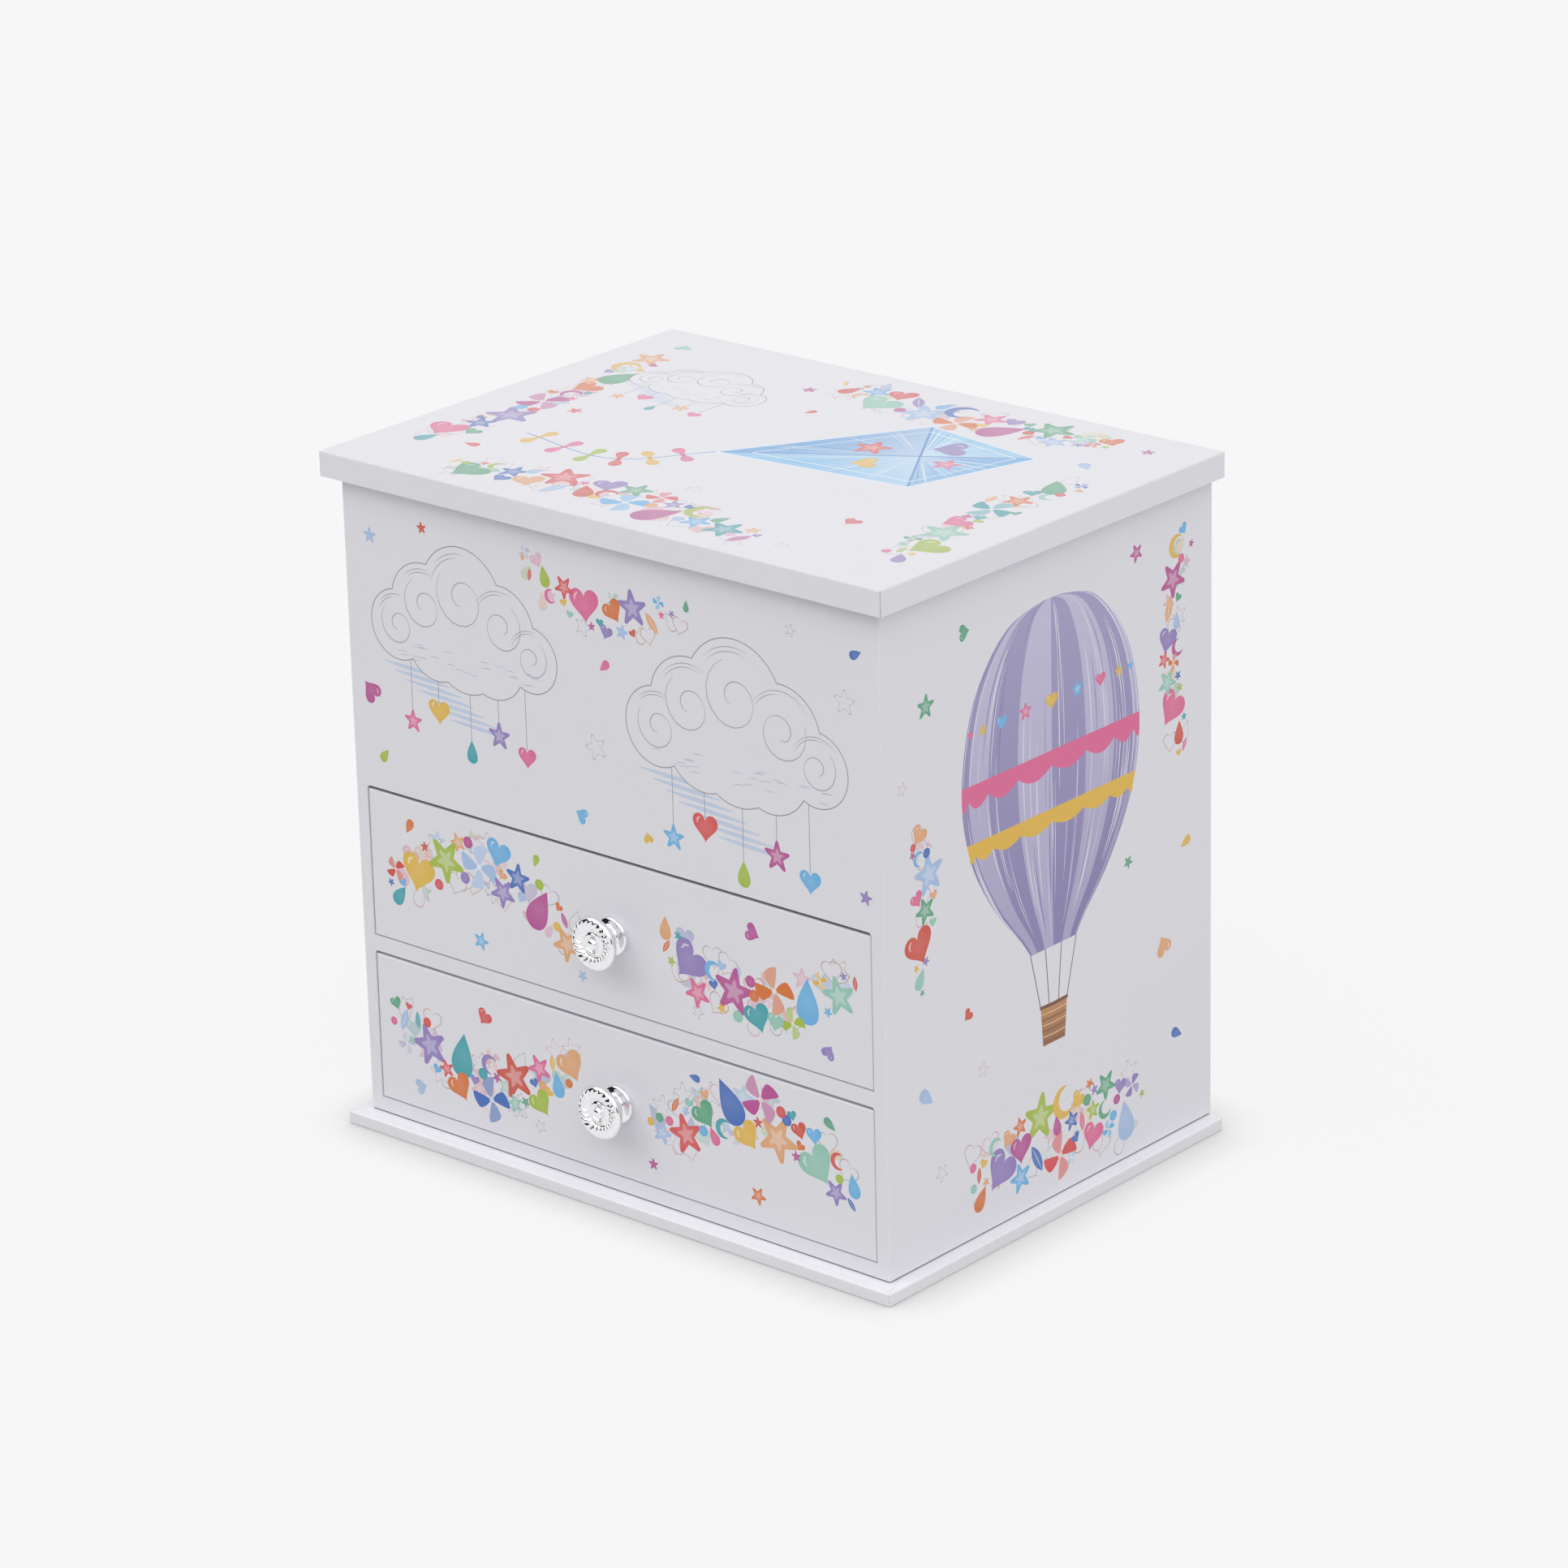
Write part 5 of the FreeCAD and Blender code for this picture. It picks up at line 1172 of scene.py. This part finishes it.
def ring_cushion():
    # Seven soft rolls side by side, rounded down at both ends.
    low, high = span("ring_cushion")
    rolls, along, across = 7, 40, 14
    bm = bmesh.new()
    bmesh.ops.create_grid(bm, x_segments=along, y_segments=rolls * across, size=0.5)
    bmesh.ops.scale(bm, vec=(high.x - low.x, high.y - low.y, 1), verts=bm.verts)
    bmesh.ops.translate(bm, vec=((low.x + high.x) / 2, (low.y + high.y) / 2, low.z), verts=bm.verts)
    rim = [edge for edge in bm.edges if edge.is_boundary]
    deep = (high.y - low.y) / rolls
    for vert in bm.verts:
        place = (vert.co.y - low.y) / deep
        offset = 2 * (place - min(rolls - 1, (place + 1e-6) // 1)) - 1
        crown = sqrt(max(0, 1 - 0.985 * abs(offset) ** 2.3))
        end = min(vert.co.x - low.x, high.x - vert.co.x)
        rounded = sqrt(1 - (1 - min(1, end / ROLL_END)) ** 2)
        soft = 0.96 + 0.04 * sin(vert.co.x * 0.21 + 1.7 * (place // 1)) * cos(vert.co.x * 0.083)
        height = (high.z - low.z) * (0.34 + 0.66 * crown * soft) * (0.42 + 0.58 * rounded)
        vert.co.z = low.z + min(height, high.z - low.z)
    skirt = bmesh.ops.extrude_edge_only(bm, edges=rim)["geom"]
    for vert in (v for v in skirt if isinstance(v, bmesh.types.BMVert)):
        vert.co.z = low.z
    bmesh.ops.holes_fill(bm, edges=[edge for edge in bm.edges if edge.is_boundary])
    bmesh.ops.recalc_face_normals(bm, faces=bm.faces)
    made = piece("ring_cushion_rolls", bm, "case", cushion_velvet, ["ring_cushion"], smooth=True)


cushion_velvet = velvet("velvet_cushion", linear(206, 186, 226), linear(236, 222, 246))
ring_cushion()


# Dancer on a disc: the disc in points of radius and height, the figure in shares of its own height

DISC = [(0, 0), (6.2, 0), (6.5, 0.25), (6.5, 0.75), (6.3, 1.05), (5.7, 1.2), (5.4, 1.5), (4.9, 1.6), (0, 1.6)]
HEAD = 0.845
figure_low, figure_high = span("dancer_figure")
figure_y = (figure_low.y + figure_high.y) / 2
disc_top = figure_low.z + DISC[-1][1]
tall = figure_high.z - figure_low.z - DISC[-1][1]


def up_figure(share):
    # The height of a share of the figure above its disc.
    return disc_top + tall * share


def in_figure(x, y, share):
    # A place beside the figure's axis.
    return Matrix.Translation((x, figure_y + y, up_figure(share)))


def ball(bm, place, radius, around=20, up=12):
    bmesh.ops.create_uvsphere(bm, u_segments=around, v_segments=up, radius=radius, matrix=place)


def limb(bm, side, rows):
    # A rounded limb through places on one side of the figure, with a radius each.
    places = [in_figure(side * x, y, share) for x, y, share, radius in rows]
    radii = [row[3] for row in rows]
    for k in range(len(rows) - 1):
        a, b = places[k].translation, places[k + 1].translation
        along = b - a
        turn = along.to_track_quat("Z", "Y").to_matrix().to_4x4()
        bmesh.ops.create_cone(bm, cap_ends=True, segments=20, radius1=radii[k], radius2=radii[k + 1],
                              depth=along.length, matrix=Matrix.Translation((a + b) / 2) @ turn)
    for place, radius in zip(places, radii):
        ball(bm, place, radius)


def dancer():
    # A figure with raised arms: legs, arms, trunk, head, nose, hair and bun joined in one.
    bm = bmesh.new()
    spin_profile(bm, DISC, 72)
    close_up(bm)
    bmesh.ops.translate(bm, vec=(0, figure_y, figure_low.z), verts=bm.verts)
    for side in (-1, 1):
        limb(bm, side, [(0.5, -0.25 * side, 0.0, 0.42), (0.55, -0.1, 0.05, 0.55), (0.6, 0.05, 0.16, 0.92),
                        (0.7, -0.1, 0.25, 0.8), (0.9, 0, 0.40, 1.25), (0.95, 0, 0.48, 1.35)])
        limb(bm, side, [(1.75, 0, 0.71, 0.72), (3.1, -0.3, 0.765, 0.6), (4.35, -0.6, 0.835, 0.52),
                        (3.6, -0.85, 0.905, 0.48), (2.1, -0.95, 0.96, 0.4), (1.1, -0.95, 0.982, 0.36),
                        (0.55, -0.95, 0.986, 0.22)])
    limb(bm, 1, [(0, 0, 0.47, 2.0), (0, 0, 0.53, 1.85), (0, 0, 0.585, 1.4), (0, -0.1, 0.66, 1.85),
                 (0, 0, 0.705, 1.75), (0, 0, 0.735, 1.0), (0, 0, 0.79, 0.72)])
    ball(bm, in_figure(0, -0.05, HEAD) @ Matrix.Diagonal((0.9, 0.98, 1.12, 1)), 1.95, 28, 20)
    ball(bm, in_figure(0, -1.9, 0.836), 0.24, 12, 8)
    ball(bm, in_figure(0, 0.28, 0.857) @ Matrix.Diagonal((0.96, 0.92, 1.06, 1)), 2.0, 28, 20)
    ball(bm, in_figure(0, 1.3, 0.9), 1.05, 20, 14)
    made = piece("dancer_moulding", bm, "dancer_set", dancer_paint, ["dancer_figure"],
                 smooth=True)
    moulded(made, 6)


def dancer_finish():
    # Painted by place: skin, hair, bodice, shoes, face and disc.
    made = Finish("dancer_paint", IOR=1.5)
    x, y, z = made.x, made.y - figure_y, made.z
    head = up_figure(HEAD)
    narrow = abs(x) < 2.35
    tights = (z < up_figure(0.47)).blend(linear(236, 196, 172), linear(244, 222, 220))
    laces = ((z - disc_top) * 0.8 + x * 0.5).math("FRACT") < 0.32
    shoe = (z < up_figure(0.055)).most((z < up_figure(0.13)) * laces)
    shod = shoe.blend(tights, linear(226, 128, 160))
    neckline = up_figure(0.69) + 0.25 * x * x
    bodice = (z > up_figure(0.45)) * (z < neckline) * narrow
    dressed = bodice.blend(shod, linear(230, 132, 168))
    trim = bodice * (abs(z - neckline + 0.3) < 0.3).most(abs(z - up_figure(0.545)) < 0.35)
    trimmed = trim.blend(dressed, linear(246, 224, 150))
    strand = made.spot.noise(2.2, 3.0, 0.6, (3, 1, 1))
    cap = (y * 0.85 + (z - head) * 0.62 > 0.78) * narrow * (z > up_figure(0.78)) * (z < up_figure(0.932))
    haired = cap.blend(trimmed, strand.blend(linear(84, 52, 36), linear(132, 88, 58)))
    front = y < -1.0
    side = abs(x) - 0.72
    level = z - head - 0.1
    chin = z > up_figure(0.8)
    eyes = ((side * side + level * level * 2.2) < 0.055) * front * chin
    brow = (abs(level - 0.62 + side * side * 0.5) < 0.09) * (abs(side) < 0.36) * front
    faced = (eyes.most(brow * 0.7) * (1 - cap)).blend(haired, linear(70, 46, 40))
    low = z - head + 0.98
    lips = ((x * x * 0.4 + low * low * 2.6) < 0.07) * front * chin
    cheek_x, cheek_z = abs(x) - 1.05, level + 0.65
    blush = (1 - (cheek_x * cheek_x + cheek_z * cheek_z).ease(0.02, 0.3)) * front
    blushed = (blush * 0.45 * chin * (z < up_figure(0.88))).blend(faced, linear(232, 140, 136))
    mouth = lips.blend(blushed, linear(206, 84, 96))
    plate = (z < disc_top).blend(mouth, linear(240, 236, 240))
    edge = (z < disc_top - 0.45).blend(plate, linear(222, 186, 110))
    wear = made.spot.noise(1.2, 2.0)
    made.set(Base_Color=edge.tinted(0.97 + 0.06 * wear), Roughness=0.32 + 0.2 * wear + 0.2 * cap)
    return made


dancer_paint = dancer_finish()
dancer()


# Skirt of net

WAIST = 1.75


def net_layer(name, reach, drop_by, waves, replaced):
    # One gathered layer of the skirt, from the waist to the hem.
    low, high = span("dancer_skirt")
    bm = bmesh.new()
    bmesh.ops.create_circle(bm, cap_ends=False, segments=waves * 12, radius=WAIST)
    ring = list(bm.edges)
    steps = 8
    for step in range(1, steps + 1):
        grown = bmesh.ops.extrude_edge_only(bm, edges=ring)["geom"]
        ring = [g for g in grown if isinstance(g, bmesh.types.BMEdge) and g.is_boundary]
        for vert in (g for g in grown if isinstance(g, bmesh.types.BMVert)):
            turn = atan2(vert.co.y, vert.co.x)
            radius = WAIST + (reach - WAIST) * step / steps
            vert.co.x, vert.co.y = radius * cos(turn), radius * sin(turn)
    for vert in bm.verts:
        share = max(0, (hypot(vert.co.x, vert.co.y) - WAIST) / (reach - WAIST))
        turn = atan2(vert.co.y, vert.co.x)
        fold_high = (0.12 + 0.62 * share) * cos(waves * turn + 0.5 * sin(3 * turn))
        vert.co.z = high.z - 0.5 - drop_by - 1.0 * share ** 1.6 + fold_high * (0.25 + 0.75 * share)
    bmesh.ops.translate(bm, vec=(0, (low.y + high.y) / 2, 0), verts=bm.verts)
    bmesh.ops.recalc_face_normals(bm, faces=bm.faces)
    cloth = sum(face.calc_area() for face in bm.faces)
    made = piece(name, bm, "dancer_set", net, replaced, smooth=True)
    across = 2 * sqrt(cloth / pi + WAIST * WAIST)
    cloth * MM * MM


net = Finish("net", Roughness=0.6, Sheen_Weight=0.4)
thread = ((net.x * 9.0).math("SINE") * (net.y * 9.0).math("SINE")).ease(-0.55, 0.1)
net.set(Base_Color=net.spot.noise(0.8, 2.0).blend(linear(240, 196, 216), linear(252, 226, 238)),
        Alpha=0.62 + 0.33 * thread)
net_layer("skirt_upper_net", 9.9, 0.0, 15, ["dancer_skirt"])
net_layer("skirt_lower_net", 8.8, 0.75, 13, [])


# Knobs: the turned profile in points of radius and height, from the drawer outwards

KNOB_FOOT = [(0.0, 0.0), (5.0, 0.0), (5.42, 0.25), (5.55, 0.75), (5.35, 1.3), (4.85, 1.6), (4.2, 1.85),
             (3.55, 2.3), (3.3, 2.95), (3.3, 3.8), (3.6, 4.5), (4.4, 5.25), (5.6, 6.05)]
KNOB_RIM = [(6.75, 6.55), (7.35, 6.95), (7.7, 7.5), (7.75, 8.0), (7.55, 8.5), (7.15, 8.9), (6.6, 9.15)]
KNOB_FACE = [(6.0, 9.25), (5.3, 9.2), (4.7, 9.05), (4.2, 8.8), (3.9, 8.5), (3.55, 8.35), (3.2, 8.5),
             (2.8, 8.75), (2.4, 8.7), (2.1, 8.4), (1.85, 8.3)]
KNOB_BUTTON = [(1.75, 8.65), (1.45, 9.2), (0.85, 9.6), (0.0, 9.75)]
FACE_LOW = 8.2
FLUTES = 22
FLUTE_IN, FLUTE_MIDDLE, FLUTE_OUT = 3.9, 6.0, 7.1
FLUTE_DEEP, FLUTE_LEAN = 0.42, 0.09
FADE_IN, FADE_OUT = 0.5, 0.8


def fluted_knob(name, cad, body):
    # Turned from a profile, with slanting flutes worked round the face inside a smooth rim.
    low, high = span(cad)
    bm = bmesh.new()
    spin_profile(bm, smooth_path(KNOB_FOOT + KNOB_RIM + KNOB_FACE + KNOB_BUTTON, 3), FLUTES * 10)
    close_up(bm)
    for vert in bm.verts:
        r = hypot(vert.co.x, vert.co.y)
        if vert.co.z > FACE_LOW and FLUTE_IN < r < FLUTE_OUT:
            reach = min(1, (r - FLUTE_IN) / FADE_IN, (FLUTE_OUT - r) / FADE_OUT)
            turn = atan2(vert.co.y, vert.co.x) + FLUTE_LEAN * (r - FLUTE_MIDDLE)
            ridge = abs(cos(turn * FLUTES / 2))
            vert.co.z += FLUTE_DEEP * reach * (ridge - 0.7)
    bmesh.ops.rotate(bm, cent=(0, 0, 0), matrix=Matrix.Rotation(pi / 2, 3, "X"), verts=bm.verts)
    bmesh.ops.translate(bm, vec=(0, high.y, (low.z + high.z) / 2), verts=bm.verts)
    piece(name, bm, body, chrome, [cad], smooth=True)


chrome = Finish("knob_chrome", Metallic=1.0)
smear = chrome.spot.noise(0.5, 3.0)
chrome.set(Base_Color=smear.blend(linear(236, 236, 238), linear(246, 246, 248)),
           Roughness=0.02 + 0.03 * smear, Normal=chrome.spot.noise(1.4, 2.0).bump(0.00002, 0.15))
for side in ("upper", "lower"):
    fluted_knob(f"{side}_knob_turned", f"{side}_knob", f"{side}_drawer")


# Floor, in metres

FLOOR_HALF = 9.0
FLOOR_WHITE = 0.987
CONTACT_REACH = 0.021
CONTACT_SHARE = 0.7
SEEN_SHARE = 0.86


def seen_by_eye(link):
    # 1 for the camera and for what mirrors and glass show, 0 for the light that falls on things.
    rays = [link.node("LightPath", (), (), f"Is {kind} Ray") for kind in ("Camera", "Glossy", "Transmission")]
    return rays[0].most(rays[1]).most(rays[2])


def white_floor():
    # Looks white, with a painted contact shadow added to the real shade where it is close under the box, and
    # gives back a plain amount of light.
    made = Finish("floor_white", Roughness=0.9, Base_Color=(0.58, 0.58, 0.582, 1))
    spot = made.spot
    open_sky = spot.node("AmbientOcclusion", {"samples": 6}, {"Distance": CONTACT_REACH}, 1)
    # Painted shadow: the white that the camera and mirrors see is darkened by occlusion near the box.
    white = (open_sky * CONTACT_SHARE + (1 - CONTACT_SHARE)).blend(
        (0, 0, 0, 1), (FLOOR_WHITE, FLOOR_WHITE, FLOOR_WHITE, 1))
    look = spot.node("MixShader", (), {0: seen_by_eye(spot) * SEEN_SHARE, 1: Link(made.shader.outputs[0]),
                                       2: spot.node("Emission", (), {"Color": white})})
    tree = made.material.node_tree
    tree.links.new(look.socket, tree.nodes["Material Output"].inputs["Surface"])
    return made


floor_mesh = bpy.data.meshes.new("floor")
bm = bmesh.new()
bmesh.ops.create_grid(bm, x_segments=8, y_segments=8, size=FLOOR_HALF)
bm.to_mesh(floor_mesh)
bm.free()
floor_mesh.materials.append(white_floor().material)
floor = show("floor", floor_mesh)


# Light

MIRRORED_WHITE = 0.9
DARK_PANELS = (((0.8, -0.45, 0.12), 12), ((-0.66, -0.75, 0.27), 33))
PANEL_EDGE = 0.006
SOFTBOXES = (("left", 0.65, -45), ("front", 0.45, 0), ("right", 0.6, 50))
SOFTBOX_SPREAD = 45


def studio_light(way):
    # Light from all round, most from above, from the right and from behind. What is mirrored is an
    # even white room with two dark panels instead.
    panels = 0.0
    for toward, reach in DARK_PANELS:
        near = way.node("VectorMath", {"operation": "DOT_PRODUCT"},
                        {0: way, 1: Vector(toward).normalized()}, 1)
        edge = cos(radians(reach))
        panels = panels + near.ease(edge - PANEL_EDGE, edge + PANEL_EDGE)
    east, north, rise = way.axes()
    plain = (0.50 + 0.17 * rise.most(0.0) + 0.27 * east + 0.25 * north).most(0.04)
    mirrored = way.node("LightPath", (), (), "Is Glossy Ray")
    return plain + mirrored * (MIRRORED_WHITE * (1 - 0.98 * panels.least(1.0)) - plain)


world = bpy.data.worlds.new("studio")
bpy.context.scene.world = world
world.use_nodes = True
way = Link(world.node_tree.nodes.new("ShaderNodeTexCoord").outputs["Generated"])
sky = way.node("CombineXYZ", (), {0: 0.985, 1: 0.985, 2: 1.0}).tinted(studio_light(way))
world.node_tree.links.new(sky.socket, world.node_tree.nodes["Background"].inputs["Color"])


def softbox(side, strength, turn):
    # A soft light far off, half way up, coming from the given side.
    light = bpy.data.lights.new(f"softbox_{side}", "SUN")
    light.energy = strength
    light.angle = radians(SOFTBOX_SPREAD)
    toward = Vector((sin(radians(turn)), -cos(radians(turn)), 1.0))
    show(f"softbox_{side}", light).rotation_euler = toward.to_track_quat("Z", "Y").to_euler()


for box in SOFTBOXES:
    softbox(*box)


# Camera, fitted to the photograph

PHOTO_SIDE = 1932
FOCAL_PIXELS = 7563.8
SENSOR = 36.0
CAMERA_AT = (1.05091, -1.20901, 0.70401)
TURN, RISE, ROLL = radians(40.978), radians(20.564), radians(-1.372)

back = Vector((sin(TURN) * cos(RISE), -cos(TURN) * cos(RISE), sin(RISE)))
level = Vector((0, 0, 1)).cross(back).normalized()
upright = back.cross(level)
right, up = level * cos(ROLL) + upright * sin(ROLL), upright * cos(ROLL) - level * sin(ROLL)
lens = bpy.data.cameras.new("camera")
lens.sensor_width = SENSOR
lens.lens = FOCAL_PIXELS / PHOTO_SIDE * SENSOR
lens.clip_end = 50.0
camera = show("camera", lens)
camera.matrix_world = Matrix.Translation(CAMERA_AT) @ Matrix((right, up, back)).transposed().to_4x4()
bpy.context.scene.camera = camera
bpy.context.scene.view_settings.view_transform = "Standard"
